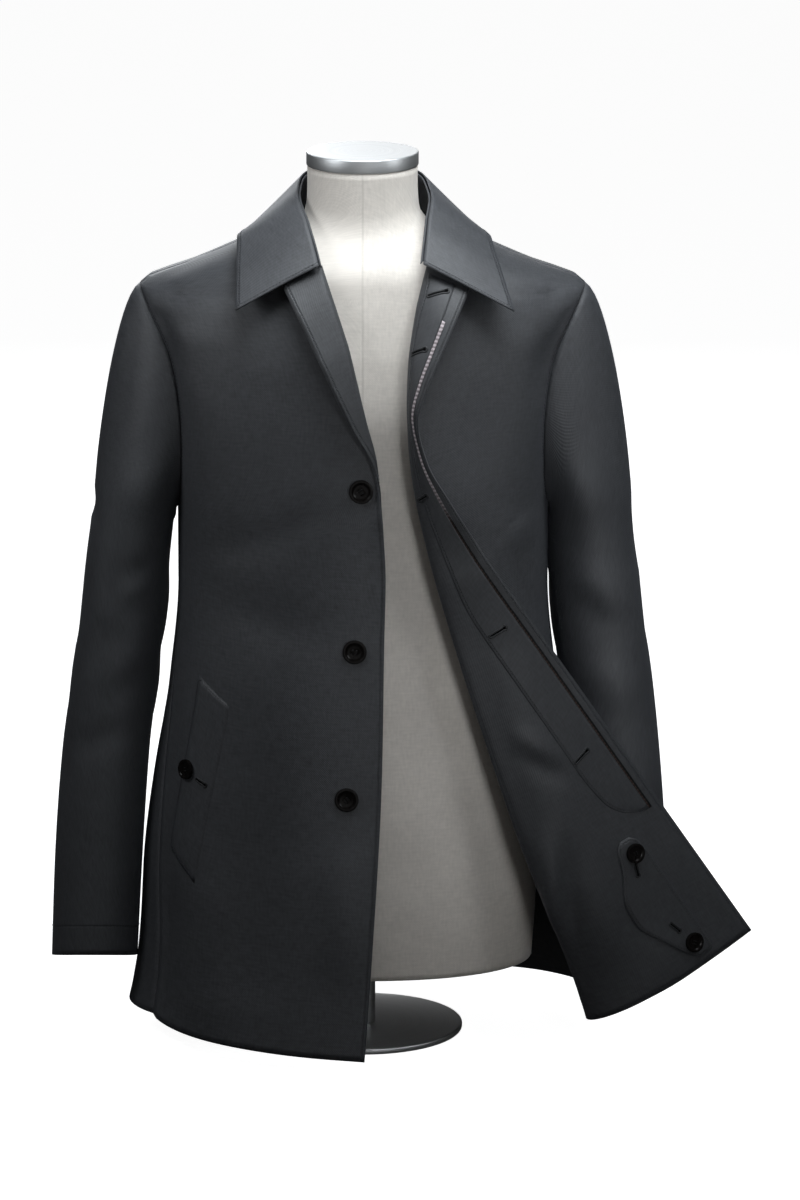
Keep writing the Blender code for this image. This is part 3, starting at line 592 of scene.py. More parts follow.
# %% Creases
FAR = 1.0
VIEWS = {"front": (0, (0.0, -1.0, 0.0)), "back": (0, (0.0, 1.0, 0.0)),
         "right": (1, (-1.0, 0.0, 0.0)), "left": (1, (1.0, 0.0, 0.0))}
CREASES = {
    "front_right": (
        ("front", (-205, 752, -190, 690), 10, -6),
        ("front", (-180, 740, -168, 640), 15, 3),
        ("front", (-150, 745, -146, 520), 30, 3.4),
        ("front", (-105, 700, -98, 430), 26, -2.8),
        ("front", (-20, 575, -90, 535, -150, 520), 14, -2.4),
        ("front", (-140, 470, -90, 450, -30, 455), 16, -2.2),
        ("front", (-16, 235, -20, 90), 16, 4.6),
        ("front", (-60, 430, -85, 230), 30, 3.8),
        ("front", (-108, 330, -106, 60), 24, -4.4),
        ("front", (-150, 190, -160, 40), 18, 4.2),
        ("front", (-200, 160, -206, 40), 14, -3.6),
        ("right", (-40, 330, -55, 60), 20, -2.6)),
    "front_left": (
        ("front", (212, 752, 196, 690), 10, -6),
        ("front", (190, 738, 172, 664), 10, -4),
        ("front", (160, 740, 154, 560), 26, 3.4),
        ("front", (118, 690, 110, 590), 20, -2.6),
        ("front", (150, 548, 170, 522), 13, 3.4),
        ("front", (90, 560, 104, 500), 14, -2.6),
        ("front", (98, 470, 150, 290, 186, 150), 14, -4.4),
        ("front", (135, 430, 190, 290, 232, 170), 18, 3.4),
        ("front", (150, 342, 196, 306), 7, 2.6),
        ("front", (160, 318, 200, 290), 7, -2.4),
        ("front", (184, 228, 194, 90), 9, 5.8),
        ("front", (204, 222, 216, 80), 9, -5.2),
        ("front", (236, 180, 262, 60), 13, 3.6),
        ("front", (290, 130, 312, 60), 18, 4)),
    "back": (
        ("back", (-175, 700, -150, 590), 14, -5.2),
        ("back", (172, 690, 146, 600), 13, -4.8),
        ("back", (-95, 640, -88, 400, -100, 120), 26, -5),
        ("back", (80, 600, 92, 360, 108, 90), 24, -4.6),
        ("back", (-20, 420, -12, 40), 30, 5.6),
        ("back", (-150, 300, -165, 40), 18, 5.2),
        ("back", (150, 260, 172, 45), 17, 4.8),
        ("left", (-10, 320, -14, 50), 16, -4.2)),
    "sleeve_right": (
        ("front", (-238, 752, -233, 734), 8, -4.4),
        ("front", (-224, 735, -246, 640, -268, 560), 11, -3.4),
        ("front", (-206, 600, -232, 545), 12, 3.2),
        ("front", (-205, 500, -240, 474), 9, -2.6),
        ("front", (-205, 470, -250, 440), 12, -3.2),
        ("front", (-215, 390, -272, 352), 12, -3),
        ("front", (-236, 330, -288, 302), 10, -2.2),
        ("front", (-252, 420, -262, 200), 20, 2),
        ("left", (0, 556, 4, 530), 20, 4),
        ("right", (30, 470, 0, 400), 13, -3.4),
        ("right", (40, 390, 0, 330), 13, -3.2),
        ("back", (-215, 480, -262, 430), 13, -3.6),
        ("back", (-225, 400, -280, 350), 14, -3.4)),
    "sleeve_left": (
        ("front", (238, 752, 233, 734), 8, -4),
        ("front", (226, 730, 244, 640, 262, 565), 12, -3.2),
        ("front", (208, 596, 230, 540), 12, 3.2),
        ("front", (206, 462, 248, 428), 12, -1.8),
        ("front", (250, 410, 262, 210), 20, 1.4),
        ("left", (42, 460, 14, 395), 13, -2.4),
        ("right", (4, 552, 18, 470), 24, 3.4),
        ("back", (212, 490, 260, 440), 13, -3.6),
        ("back", (222, 392, 276, 346), 14, -3.2)),
    "collar_fall": (
        ("front", (-60, 845, -105, 800), 20, 1.4),
        ("front", (70, 850, 118, 800), 18, 1.4),
        ("back", (-60, 850, -70, 815), 16, -1.4),
        ("back", (50, 850, 62, 815), 16, -1.4)),
}
print("creases placed by hand:", sum(len(rows) for rows in CREASES.values()))

# %% [markdown]
# To lay a crease in, a grid has to know how far each of its points is from a border and which way it faces.

# %% Measuring a grid
def runs_of(points, axis):
    """Distance along the rows (1) or columns (0) of a grid, from its start."""
    step = np.linalg.norm(np.diff(points, axis=axis), axis=2)
    start = np.zeros_like(step[:, :1] if axis == 1 else step[:1])
    return np.concatenate((start, np.cumsum(step, axis=axis)), axis=axis)


def border_distance(points, borders):
    """Distance of each grid point to the nearest of the named borders; a border may be kept to some rows."""
    across, down = runs_of(points, 1), runs_of(points, 0)
    reach = {"first_column": across, "last_column": across[:, -1:] - across,
             "first_row": down, "last_row": down[-1:] - down}
    nearest = np.full(across.shape, FAR)
    for border in borders:
        name, rows = border if isinstance(border, tuple) else (border, slice(None))
        nearest[rows] = np.minimum(nearest[rows], reach[name][rows])
    return nearest


def smooth(share):
    """A share from 0 to 1 that starts and stops gently."""
    share = np.clip(share, 0.0, 1.0)
    return share * share * (3 - 2 * share)


def normals_of(points):
    """Unit normals of a grid of points, also round a closed tube; none where it closes to a point."""
    across = np.gradient(points, axis=1)
    if np.allclose(points[:, 0], points[:, -1]):
        across[:, 0] = across[:, -1] = (points[:, 1] - points[:, -2]) / 2
    normal = np.cross(across, np.gradient(points, axis=0))
    length = np.linalg.norm(normal, axis=2)[:, :, None]
    return np.where(length > 1e-12, normal / np.maximum(length, 1e-12), 0.0)


print("a point without a border is", FAR, "m away from one")

# %% [markdown]
# Three things then happen to the grids: creases are laid in, sleeves hang out their bends, and the
# shoulders bend over without a corner.

# %% Creasing, hanging and easing
SEAM_HOLD = 0.016
END_SHARE, END_POWER, TURN_FADE, TURN_START = 0.25, 0.8, 2.0, 0.5
CAP_RUN, CUFF_RUN, HANG_PASSES, HANG_PULL = 0.070, 0.040, 60, 0.5
HANG_POWER, HANG_FROM, HANG_FADE = 2.45, 0.545, 0.10
EASE_FROM, EASE_TO, EASE_WIDTH, EASE_PASSES, EASE_PULL, FORM_EASE = 0.735, 0.799, 0.050, 24, 0.8, 1.014


def creased(points, creases, seams=()):
    """The grid with each crease laid into it along its normals, towards or away from its viewer."""
    moved, normal = points.copy(), normals_of(points)
    hold = smooth(border_distance(points, seams) / SEAM_HOLD)
    for view, line, width, depth in creases:
        axis, toward = VIEWS[view]
        facing = normal @ np.array(toward)
        place = points[:, :, (axis, 2)]
        line = np.array(line).reshape(-1, 2) / 1000
        run = run_along(line)
        best = np.full(place.shape[:2], np.inf)
        along = np.zeros(place.shape[:2])
        for a, b, start in zip(line, line[1:], run):
            step = b - a
            share = np.clip(((place - a) @ step) / (step @ step), 0.0, 1.0)
            away = np.linalg.norm(place - a - share[:, :, None] * step, axis=2)
            along = np.where(away < best, (start + share * np.linalg.norm(step)) / run[-1], along)
            best = np.minimum(best, away)
        taper = END_SHARE + (1 - END_SHARE) * np.sin(math.pi * np.clip(along, 0.0, 1.0)) ** END_POWER
        turned = np.clip(np.abs(facing) * TURN_FADE - TURN_START, 0.0, 1.0)
        wave = np.exp(-0.5 * (best / (width / 1000)) ** 2) * taper * turned
        moved += normal * (np.sign(facing) * wave * (depth / 1000) * hold)[:, :, None]
    return moved


def hung(points):
    """A sleeve with its bends drawn out along its length and its front and back hanging a little flatter."""
    down = runs_of(points, 0)
    weight = HANG_PULL * smooth(down / CAP_RUN) * smooth((down[-1:] - down) / CUFF_RUN)
    moved = points.copy()
    for _ in range(HANG_PASSES):
        moved[1:-1] += weight[1:-1, :, None] * ((moved[:-2] + moved[2:]) / 2 - moved[1:-1])
    for row in moved:
        centre, half = (row.max(0) + row.min(0)) / 2, (row.max(0) - row.min(0)) / 2
        part = (row - centre)[:, :2] / half[:2]
        square = np.sign(part) * np.abs(part) ** (2 / HANG_POWER)
        row[:, :2] += (square - part) * half[:2] * smooth((HANG_FROM - row[:, 2:]) / HANG_FADE)
    return moved


def eased(points, seam):
    """The grid with the bend at the shoulder line drawn out smoothly away from its seam, clear of the form."""
    moved = points.copy()
    weight = smooth(border_distance(points, (seam,)) / EASE_WIDTH)
    rows = [r for r in range(1, len(LEVELS) - 1) if EASE_FROM < LEVELS[r] < EASE_TO]
    for _ in range(EASE_PASSES):
        for r in rows:
            share = (LEVELS[r] - LEVELS[r - 1]) / (LEVELS[r + 1] - LEVELS[r - 1])
            between_rows = moved[r - 1] * (1 - share) + moved[r + 1] * share
            moved[r] += (between_rows - moved[r]) * EASE_PULL * weight[r][:, None]
    for r in rows:
        half, front, power = (FORM.at(LEVELS[r], name) for name in ("half", "front", "power"))
        x, y = np.abs(moved[r, :, 0] / half), np.abs(moved[r, :, 1] / front)
        inside = (x ** power + y ** power) ** (1 / power)
        moved[r, :, :2] *= np.maximum(1.0, FORM_EASE / inside)[:, None]
    return moved


print("a crease fades within", SEAM_HOLD, "m of a seam")

# %% [markdown]
# A cut piece is a flat sheet, so it has a length along each thread. Those two lengths, in metres, become
# its UV map, and the weave follows them. Two more measures go with each point: how far it lies from a
# topstitched edge and from a hem, so that the finish can sink a groove where the thread pulls.

# %% A sheet of cloth
LEAST_WIDTH, LEAST_FILL, MERGE = 0.0100, 0.31, 2e-6
SHEETS = {}


def grid_mesh(points, **measures):
    """A mesh of a grid, with its lengths across and down as a UV map and each named measure at its points."""
    rows, columns = points.shape[:2]
    across, down = runs_of(points, 1), runs_of(points, 0)
    bm = bmesh.new()
    uv = bm.loops.layers.uv.new("cut")
    layers = {name: bm.verts.layers.float.new(name) for name in measures}
    verts = [[bm.verts.new(point) for point in row] for row in points]
    for name, layer in layers.items():
        for r, c in np.ndindex(rows, columns):
            verts[r][c][layer] = measures[name][r, c]
    for r, c in np.ndindex(rows - 1, columns - 1):
        corners = ((r, c), (r, c + 1), (r + 1, c + 1), (r + 1, c))
        face = bm.faces.new([verts[i][j] for i, j in corners])
        face.smooth = True
        for loop, (i, j) in zip(face.loops, corners):
            loop[uv].uv = (across[i, j], down[i, j])
    bmesh.ops.remove_doubles(bm, verts=bm.verts, dist=MERGE)
    return bm


def put_in_scene(name, data):
    """A new object in the scene for a mesh, a lamp or a camera."""
    obj = bpy.data.objects.new(name, data)
    bpy.context.scene.collection.objects.link(obj)
    return obj


def piece_of(bm, name, finish):
    """The object made from a finished mesh."""
    mesh = bpy.data.meshes.new(name)
    bm.to_mesh(mesh)
    bm.free()
    mesh.materials.append(finish)
    return put_in_scene(name, mesh)


def sheet(name, points, finish, wall, side=1.0, stitched=(), hemmed=(), lined=None):
    """A cloth piece from a grid: a thin shell with its flat lengths, replacing its CAD solid."""
    bm = grid_mesh(points, edge=border_distance(points, stitched), hem=border_distance(points, hemmed))
    area = sum(face.calc_area() for face in bm.faces)
    obj = piece_of(bm, name, finish)
    thick = obj.modifiers.new("wall", "SOLIDIFY")
    thick.thickness, thick.offset, thick.use_even_offset = wall, side, False
    if lined:
        obj.data.materials.append(lined)
        thick.material_offset = 1
    bpy.context.view_layer.objects.active = obj
    bpy.ops.object.modifier_apply(modifier=thick.name)
    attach(obj, "root")
    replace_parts(obj, name.removesuffix("_cloth"))
    width, length = float(runs_of(points, 1).max()), float(runs_of(points, 0).max())
    width = max(width, area / length, LEAST_WIDTH)
    length = min(length, area / (LEAST_FILL * width))
    SHEETS[name] = {"obj": obj, "flat": (width, length), "area": area}


print("narrowest flat width:", LEAST_WIDTH, "m")

# %% [markdown]
# Raincoat cotton is a tight twill: fine diagonal ribs, threads that are never quite even, and a dull
# sheen that wakes up where the light comes from above. All of that is made of nodes, so a few helpers
# come first.

# %% Node helpers
def plug(tree, node, inputs):
    """Set inputs of a node to values, or link them to outputs."""
    for key, value in inputs.items():
        if isinstance(value, bpy.types.NodeSocket):
            tree.links.new(value, node.inputs[key])
        else:
            node.inputs[key].default_value = value


def add(tree, kind, inputs=None, **settings):
    """A node with its settings and inputs."""
    node = tree.nodes.new(kind)
    for key, value in settings.items():
        setattr(node, key, value)
    plug(tree, node, inputs or {})
    return node


def calc(tree, operation, *values):
    """The result of one sum."""
    return add(tree, "ShaderNodeMath", dict(enumerate(values)), operation=operation).outputs[0]


def noise(tree, vector, scale, detail, **inputs):
    """An even noise from 0 to 1."""
    inputs.update(Vector=vector, Scale=scale, Detail=detail)
    return add(tree, "ShaderNodeTexNoise", inputs).outputs["Fac"]


def stretch(tree, value, low, high, start=0.0, stop=1.0, **settings):
    """A value that goes from start to stop, made to run from low to high."""
    inputs = {"Value": value, "From Min": start, "From Max": stop, "To Min": low, "To Max": high}
    return add(tree, "ShaderNodeMapRange", inputs, **settings).outputs["Result"]


def group(name, inputs, outputs):
    """An empty node group with its named sockets."""
    tree = bpy.data.node_groups.new(name, "ShaderNodeTree")
    for way, sockets in (("INPUT", inputs), ("OUTPUT", outputs)):
        for label, kind in sockets.items():
            tree.interface.new_socket(name=label, in_out=way, socket_type="NodeSocket" + kind)
    return tree, add(tree, "NodeGroupInput"), add(tree, "NodeGroupOutput")


print("node helpers:", plug.__name__, add.__name__, calc.__name__, noise.__name__, stretch.__name__)

# %% [markdown]
# The weave is one shared node group that reads the cut's own lengths, so that a rib is the same size on a
# sleeve and on a collar. Ribs are a diagonal wave; slubs are noise drawn out along either thread.

# %% The weave
RIB = 0.0016
# How fast the wave node counts along a diagonal and along one axis.
DIAGONAL_RATE, STRAIGHT_RATE = 14.142, 20
WARP, WEFT = (430.0, 95.0, 1.0), (80.0, 410.0, 1.0)

weave, given, result = group("twill_weave", {"Cut": "Vector"}, {"Height": "Float", "Tone": "Float"})
ribs = add(weave, "ShaderNodeTexWave",
           {"Vector": given.outputs["Cut"], "Scale": 2 * math.pi / (DIAGONAL_RATE * RIB),
            "Distortion": 0.6, "Detail": 1.0}, bands_direction="DIAGONAL")
slubs = []
for way in (WARP, WEFT):
    pulled = add(weave, "ShaderNodeMapping", {"Vector": given.outputs["Cut"], "Scale": way})
    slubs.append(noise(weave, pulled.outputs[0], 1.0, 2.0))
tone = calc(weave, "MULTIPLY", calc(weave, "ADD", *slubs), 0.5)
plug(weave, result, {"Height": calc(weave, "ADD", ribs.outputs["Fac"], tone), "Tone": tone})
print("weave group:", len(weave.nodes), "nodes")

# %% [markdown]
# A row of topstitching draws the cloth down into a shallow groove, with a soft swelling at both sides.
# The group below turns a distance from the edge into that groove.

# %% The stitched groove
groove, given, result = group("stitched_groove", {"Distance": "Float", "At": "Float", "Width": "Float"},
                              {"Mask": "Float"})
off = calc(groove, "SUBTRACT", given.outputs["Distance"], given.outputs["At"])
ratio = calc(groove, "DIVIDE", calc(groove, "ABSOLUTE", off), given.outputs["Width"])
plug(groove, result, {"Mask": stretch(groove, ratio, 1.0, 0.0, interpolation_type="SMOOTHSTEP")})
print("groove group:", len(groove.nodes), "nodes")

# %% [markdown]
# Each finish is one Principled shader with a colour, a roughness and a relief, made from the same few parts.

# %% Parts of a finish
EDGE_STITCH, TRIM_STITCH, HEM_STITCH, GROOVE_WIDTH = 0.0036, 0.0030, 0.0300, 0.0016
WELT_GROOVE = 0.0008
CRUMPLE = 24.0
MIDDLE = (0.3, 0.7)


def finish_of(name):
    """A new material, its node tree and its shader."""
    made = bpy.data.materials.new(name)
    made.use_nodes = True
    return made, made.node_tree, made.node_tree.nodes["Principled BSDF"]


def own_place(tree):
    """Coordinates of the piece itself, in metres."""
    return add(tree, "ShaderNodeTexCoord").outputs["Object"]


def cut_place(tree):
    """Lengths on the flat cut, in metres."""
    return add(tree, "ShaderNodeUVMap", uv_map="cut").outputs["UV"]


def dimmed(tree, colour, factor):
    """A colour times a factor."""
    return add(tree, "ShaderNodeVectorMath", {0: colour, 1: factor}, operation="MULTIPLY").outputs[0]


def tinted(tree, colour, amount, low, high):
    """A colour made darker or lighter by a factor that runs from low to high."""
    return dimmed(tree, colour, stretch(tree, amount, low, high, *MIDDLE))


def relief(tree, height, strength, distance, **under):
    """A normal that follows a height, over the normal of a coarser relief if there is one."""
    inputs = {"Height": height, "Strength": strength, "Distance": distance, **under}
    return add(tree, "ShaderNodeBump", inputs).outputs["Normal"]


def pulled_down(tree, layer, at, width):
    """The groove at a distance from the edge or hem."""
    near = add(tree, "ShaderNodeAttribute", attribute_name=layer).outputs["Fac"]
    return add(tree, "ShaderNodeGroup", {"Distance": near, "At": at, "Width": width},
               node_tree=groove).outputs["Mask"]


print("edge stitch at", EDGE_STITCH, "m, hem stitch at", HEM_STITCH, "m")

# %% [markdown]
# Cotton gets its colour from the slubs and from a slow mottling, with painted shade in its two grooves, its
# sheen from the fuzz of the thread, and its relief from the weave, from the two grooves and from the slight
# limpness that keeps worn cotton from ever looking pressed. Inside, the same cotton is darker: partly its
# duller inside, partly painted shade where the inside turns away from the lights.

# %% Cotton
def cotton(name, colour, edge_at=EDGE_STITCH, depth=0.80):
    """Twill with its weave, its mottling and the grooves of its stitching, which are darkened as painted shade.
    """
    made, tree, shader = finish_of(name)
    cloth = add(tree, "ShaderNodeGroup", {"Cut": cut_place(tree)}, node_tree=weave)
    place = own_place(tree)
    slow = noise(tree, place, 9.0, 4.0)
    toned = tinted(tree, colour, cloth.outputs["Tone"], 0.72, 1.28)
    toned = tinted(tree, toned, slow, 0.90, 1.10)
    # The groove masks darken the colour down to depth times itself: painted shade in the stitched grooves.
    masks = [pulled_down(tree, layer, at, GROOVE_WIDTH)
             for layer, at in (("edge", edge_at), ("hem", HEM_STITCH))]
    level = calc(tree, "SUBTRACT", 1.0, calc(tree, "MAXIMUM", *masks))
    soft = relief(tree, noise(tree, place, CRUMPLE, 1.0), 0.10, 0.0060)
    fine = relief(tree, cloth.outputs["Height"], 0.24, 0.0004, Normal=soft)
    plug(tree, shader, {
        "Base Color": dimmed(tree, toned, stretch(tree, level, depth, 1.0)),
        "Roughness": stretch(tree, slow, 0.51, 0.61, *MIDDLE),
        "Normal": relief(tree, level, 0.7, 0.0006, Normal=fine), "Specular IOR Level": 0.42,
        "Sheen Weight": 0.05, "Sheen Roughness": 0.45, "Sheen Tint": (0.62, 0.68, 0.78, 1.0)})
    return made


# The inside of the cloth is darker, partly because cotton is duller on its inside and partly as painted shade
# where the left front, lapel facing, fly and tab turn away from the lights.
CHARCOAL, INSIDE_DULLING_AND_SHADE = (0.0396, 0.0412, 0.0450), 0.68
INSIDE_TONE_AND_SHADE = tuple(INSIDE_DULLING_AND_SHADE * c for c in CHARCOAL)
shell = cotton("charcoal_cotton", CHARCOAL)
inside = cotton("charcoal_inside_with_painted_shade", INSIDE_TONE_AND_SHADE)
trim_with_shade = cotton("charcoal_trim_with_painted_shade", INSIDE_TONE_AND_SHADE, TRIM_STITCH)
# On the welt the groove lies close to the edge and is darkened to 0.45: a painted shadow line along its ends
# and its free edge.
welt = cotton("charcoal_welt_with_shadow_line", CHARCOAL, WELT_GROOVE, 0.45)
print("finishes:", shell.name, inside.name, trim_with_shade.name, welt.name)

# %% [markdown]
# The edge that shows along the fly is a strip of ribbed lining: pinkish grey at the chest, turning to
# dark brown further down, where its outer part is painted near black as the shade of an open slit. Buttons are
# dark polished horn, with faint streaks. Sewing thread is close to the cloth, so that it just shows; the
# buttonholes are bound in a darker one, and their slits are painted shade.

# %% Lining, horn and thread
LINING_RIB = 0.0042
PINK_FROM, PINK_TO, SLIT_SHADE_TO, BROWN_FROM = 0.56, 0.61, 0.0019, 0.0023
SLIT_PAINTED_SHADE, BROWN, PINK = (0.0015, 0.0014, 0.0014, 1.0), (0.040, 0.026, 0.022, 1.0), (0.33, 0.29, 0.30, 1.0)


def blend(tree, share, first, second):
    """A colour between two others."""
    return add(tree, "ShaderNodeMix", {0: share, 6: first, 7: second}, data_type="RGBA").outputs[2]


def ribbed_lining():
    made, tree, shader = finish_of("ribbed_lining")
    cut = cut_place(tree)
    wave = {"Vector": cut, "Scale": 2 * math.pi / (STRAIGHT_RATE * LINING_RIB)}
    ribs = add(tree, "ShaderNodeTexWave", wave, bands_direction="Y").outputs["Fac"]
    height = add(tree, "ShaderNodeSeparateXYZ", {0: own_place(tree)}).outputs["Z"]
    across = add(tree, "ShaderNodeSeparateXYZ", {0: cut}).outputs["X"]
    # Across the strip the outer part is near black, painted shade for the opening of the slit, and then brown.
    slit_shade_then_brown = blend(tree, stretch(tree, across, 0.0, 1.0, SLIT_SHADE_TO, BROWN_FROM), SLIT_PAINTED_SHADE, BROWN)
    both = blend(tree, stretch(tree, height, 0.0, 1.0, PINK_FROM, PINK_TO), slit_shade_then_brown, PINK)
    plug(tree, shader, {"Base Color": tinted(tree, both, ribs, 0.55, 1.15),
                        "Normal": relief(tree, ribs, 0.5, 0.0006),
                        "Roughness": 0.6, "Specular IOR Level": 0.15})
    return made


def plain_detail(name, colour, grain, low, high, roughness, depth=0.1, shine=0.3):
    """A finish mottled by noise on the piece's own coordinates."""
    made, tree, shader = finish_of(name)
    scaled = add(tree, "ShaderNodeMapping", {"Vector": own_place(tree), "Scale": grain})
    mottle = noise(tree, scaled.outputs[0], 1.0, 5.0, Distortion=0.8)
    plug(tree, shader, {"Base Color": tinted(tree, colour, mottle, low, high),
                        "Roughness": stretch(tree, mottle, roughness * 0.75, roughness * 1.25),
                        "Normal": relief(tree, mottle, depth, 0.0003), "Specular IOR Level": shine})
    return made


STREAK, FUZZ, LOOPS, DULL = (900.0, 300.0, 300.0), (2500.0,) * 3, (2500.0, 700.0, 2500.0), (900.0,) * 3
lining = ribbed_lining()
horn = plain_detail("dark_horn", (0.0040, 0.0034, 0.0032), STREAK, 0.5, 2.0, 0.18, 0.03, 0.10)
thread = plain_detail("cotton_thread", (0.030, 0.031, 0.034), FUZZ, 0.7, 1.3, 0.6, 0.3)
silk = plain_detail("buttonhole_thread", (0.013, 0.0135, 0.0145), LOOPS, 0.5, 1.5, 0.45, 0.5)
sewn = plain_detail("button_thread", (0.008, 0.008, 0.008), FUZZ, 0.7, 1.3, 0.6, 0.3, 0.1)
# The slit's near-black finish is painted shade in the opening of a buttonhole.
slit_shade = plain_detail("buttonhole_slit_shade", (0.003, 0.003, 0.003), DULL, 0.7, 1.3, 0.9, 0.1, 0.0)
print("finishes:", lining.name, horn.name, thread.name, silk.name, sewn.name, slit_shade.name)

# %% [markdown]
# The form is covered in unbleached linen twill, joined by one seam down the front of the neck. Its cap
# and stand are turned steel: the tool leaves fine rings, so the streaks follow the radius and the height.

# %% Linen and steel
LINEN, COVER_SEAM = (0.62, 0.578, 0.527), 0.0020
STEEL, LATHE_RINGS = (0.62, 0.63, 0.635), 2200.0


def linen_cover():
    made, tree, shader = finish_of("unbleached_linen")
    cloth = add(tree, "ShaderNodeGroup", {"Cut": cut_place(tree)}, node_tree=weave)
    toned = tinted(tree, LINEN, cloth.outputs["Tone"], 0.90, 1.08)
    toned = tinted(tree, toned, noise(tree, own_place(tree), 22.0, 5.0), 0.95, 1.05)
    level = calc(tree, "SUBTRACT", 1.0, pulled_down(tree, "edge", 0.0, COVER_SEAM))
    fine = relief(tree, cloth.outputs["Height"], 0.12, 0.0004)
    plug(tree, shader, {"Base Color": dimmed(tree, toned, stretch(tree, level, 0.90, 1.0)),
                        "Normal": relief(tree, level, 0.5, 0.0006, Normal=fine),
                        "Roughness": 0.85, "Sheen Weight": 0.15})
    return made


def turned_steel():
    made, tree, shader = finish_of("turned_steel")
    parts = add(tree, "ShaderNodeSeparateXYZ", {0: own_place(tree)})
    flat = add(tree, "ShaderNodeCombineXYZ", {"X": parts.outputs["X"], "Y": parts.outputs["Y"]})
    radius = add(tree, "ShaderNodeVectorMath", {0: flat.outputs[0]}, operation="LENGTH")
    rings = add(tree, "ShaderNodeCombineXYZ", {"X": radius.outputs["Value"], "Y": parts.outputs["Z"]})
    close = add(tree, "ShaderNodeVectorMath", {0: rings.outputs[0], "Scale": LATHE_RINGS}, operation="SCALE")
    marks = noise(tree, close.outputs[0], 1.0, 3.0)
    plug(tree, shader, {"Base Color": tinted(tree, STEEL, marks, 0.86, 1.08),
                        "Roughness": stretch(tree, marks, 0.42, 0.52),
                        "Normal": relief(tree, marks, 0.12, 0.0002), "Metallic": 1.0})
    return made


linen, steel = linen_cover(), turned_steel()
print("finishes:", linen.name, steel.name)

# %% [markdown]
# The large panels come first, because everything sewn on lies on them. A maker cuts them flat, closes the
# side and shoulder seams and sets the sleeves in; here each grid is creased and given its wall. The two
# turned-back edges stand a little off the chest, so that they throw a shadow.

# %% Fronts, back and sleeves
CLOTH_WALL = 0.0015
# How far a turned-back edge stands off the chest, and the height and rise from which it does.
STAND_OFF = {"right": (0.0090, 0.62, 0.08), "left": (0.0060, 0.66, 0.06)}
STAND_TOP, STAND_TOP_FADE, STAND_POWER = 0.803, 0.030, 1.5


def stand_off(points, side, shares):
    """Move the columns beyond a roll forward, the edge most."""
    lift, start, fade = STAND_OFF[side]
    levels = np.array(LEVELS)
    rise = smooth((levels - start) / fade) * smooth((STAND_TOP - levels) / STAND_TOP_FADE)
    points[:, :, 1] -= lift * rise[:, None] * shares ** STAND_POWER


right = creased(eased(right_points(), "first_column"), CREASES["front_right"], ("first_column",))
left = creased(eased(left_points(), "last_column"), CREASES["front_left"], ("last_column",))
stand_off(right[:, BODY_COLUMNS:], "right", np.linspace(0.0, 1.0, LAPEL_COLUMNS + 1))
stand_off(left[:, :FLAP_COLUMNS + 1], "left", np.linspace(1.0, 0.0, FLAP_COLUMNS + 1))
back = creased(back_points(), CREASES["back"], ("first_column", "last_column"))
sleeves = {"right": sleeve_points("right"), "left": (sleeve_points("left") * (-1, 1, 1))[:, ::-1]}
sleeves = {side: creased(hung(points), CREASES[f"sleeve_{side}"], ("first_row",))
           for side, points in sleeves.items()}
armhole = slice(LEVELS.index(ARMPIT), LEVELS.index(SHOULDER) + 1)
sheet("front_right_cloth", right, shell, CLOTH_WALL, stitched=("last_column", ("first_column", armhole)))
# The left front's inside shows in the darker cotton, which is partly painted shade.
sheet("front_left_cloth", left, shell, CLOTH_WALL, stitched=("first_column", ("last_column", armhole)),
      lined=inside)
sheet("back_cloth", back, shell, CLOTH_WALL, stitched=(("first_column", armhole), ("last_column", armhole)))
for side, points in sleeves.items():
    sheet(f"sleeve_{side}_cloth", points, shell, CLOTH_WALL, hemmed=("last_row",))
right_panel, left_panel = Panel(right), Panel(left)
print("panels:", ", ".join(SHEETS))

# %% [markdown]
# The collar is two bands: a stand that goes up round the neck, and a leaf that falls over it. Its right end
# reaches down to the lapel, and its points stand off. The facing doubles the right front, so that the
# turned-back lapel shows its good side.

# %% Collar and facing
END_COLUMNS, END_DROP, STAND_DROP = 14, 0.0050, 0.0060
TIP_COLUMNS, TIP_LIFT, FACING_COLUMNS = 30, 0.0090, 6
collar = creased(collar_points("fall"), CREASES["collar_fall"])
share = np.linspace(0.0, 1.0, len(collar))[:, None]
station = np.arange(collar.shape[1])
near_end = np.clip((station - collar.shape[1] + END_COLUMNS) / END_COLUMNS, 0.0, 1.0)
collar[:, :, 2] -= END_DROP * share * near_end ** 2
from_tip = np.minimum(station, station[::-1])
collar[:, :, 1] -= TIP_LIFT * (1 - share) * np.clip(1 - from_tip / TIP_COLUMNS, 0.0, 1.0) ** STAND_POWER
stand = collar_points("stand")
stand[:, -END_COLUMNS:, 2] -= STAND_DROP * np.linspace(0.0, 1.0, END_COLUMNS) ** 2
sheet("collar_fall_cloth", collar, shell, CLOTH_WALL, stitched=("first_row", "first_column", "last_column"))
sheet("collar_stand_cloth", stand, shell, CLOTH_WALL)
strip = (right_panel.points - right_panel.normals * GAP)[:, BODY_COLUMNS - FACING_COLUMNS:]
strip[:, -1] += (strip[:, -2] - strip[:, -1]) * FACING_TRIM
# The lapel facing is the darker cotton, which is partly painted shade.
sheet("facing_right_cloth", strip, inside, THIN, -1.0, stitched=("last_column",))
print("sheets so far:", len(SHEETS))

# %% [markdown]
# The left front is turned out, so its inside shows: a buttonhole strip behind a slit, the lining edge in
# that slit, and a tab that buttons the collar in bad weather and is buttoned away here.

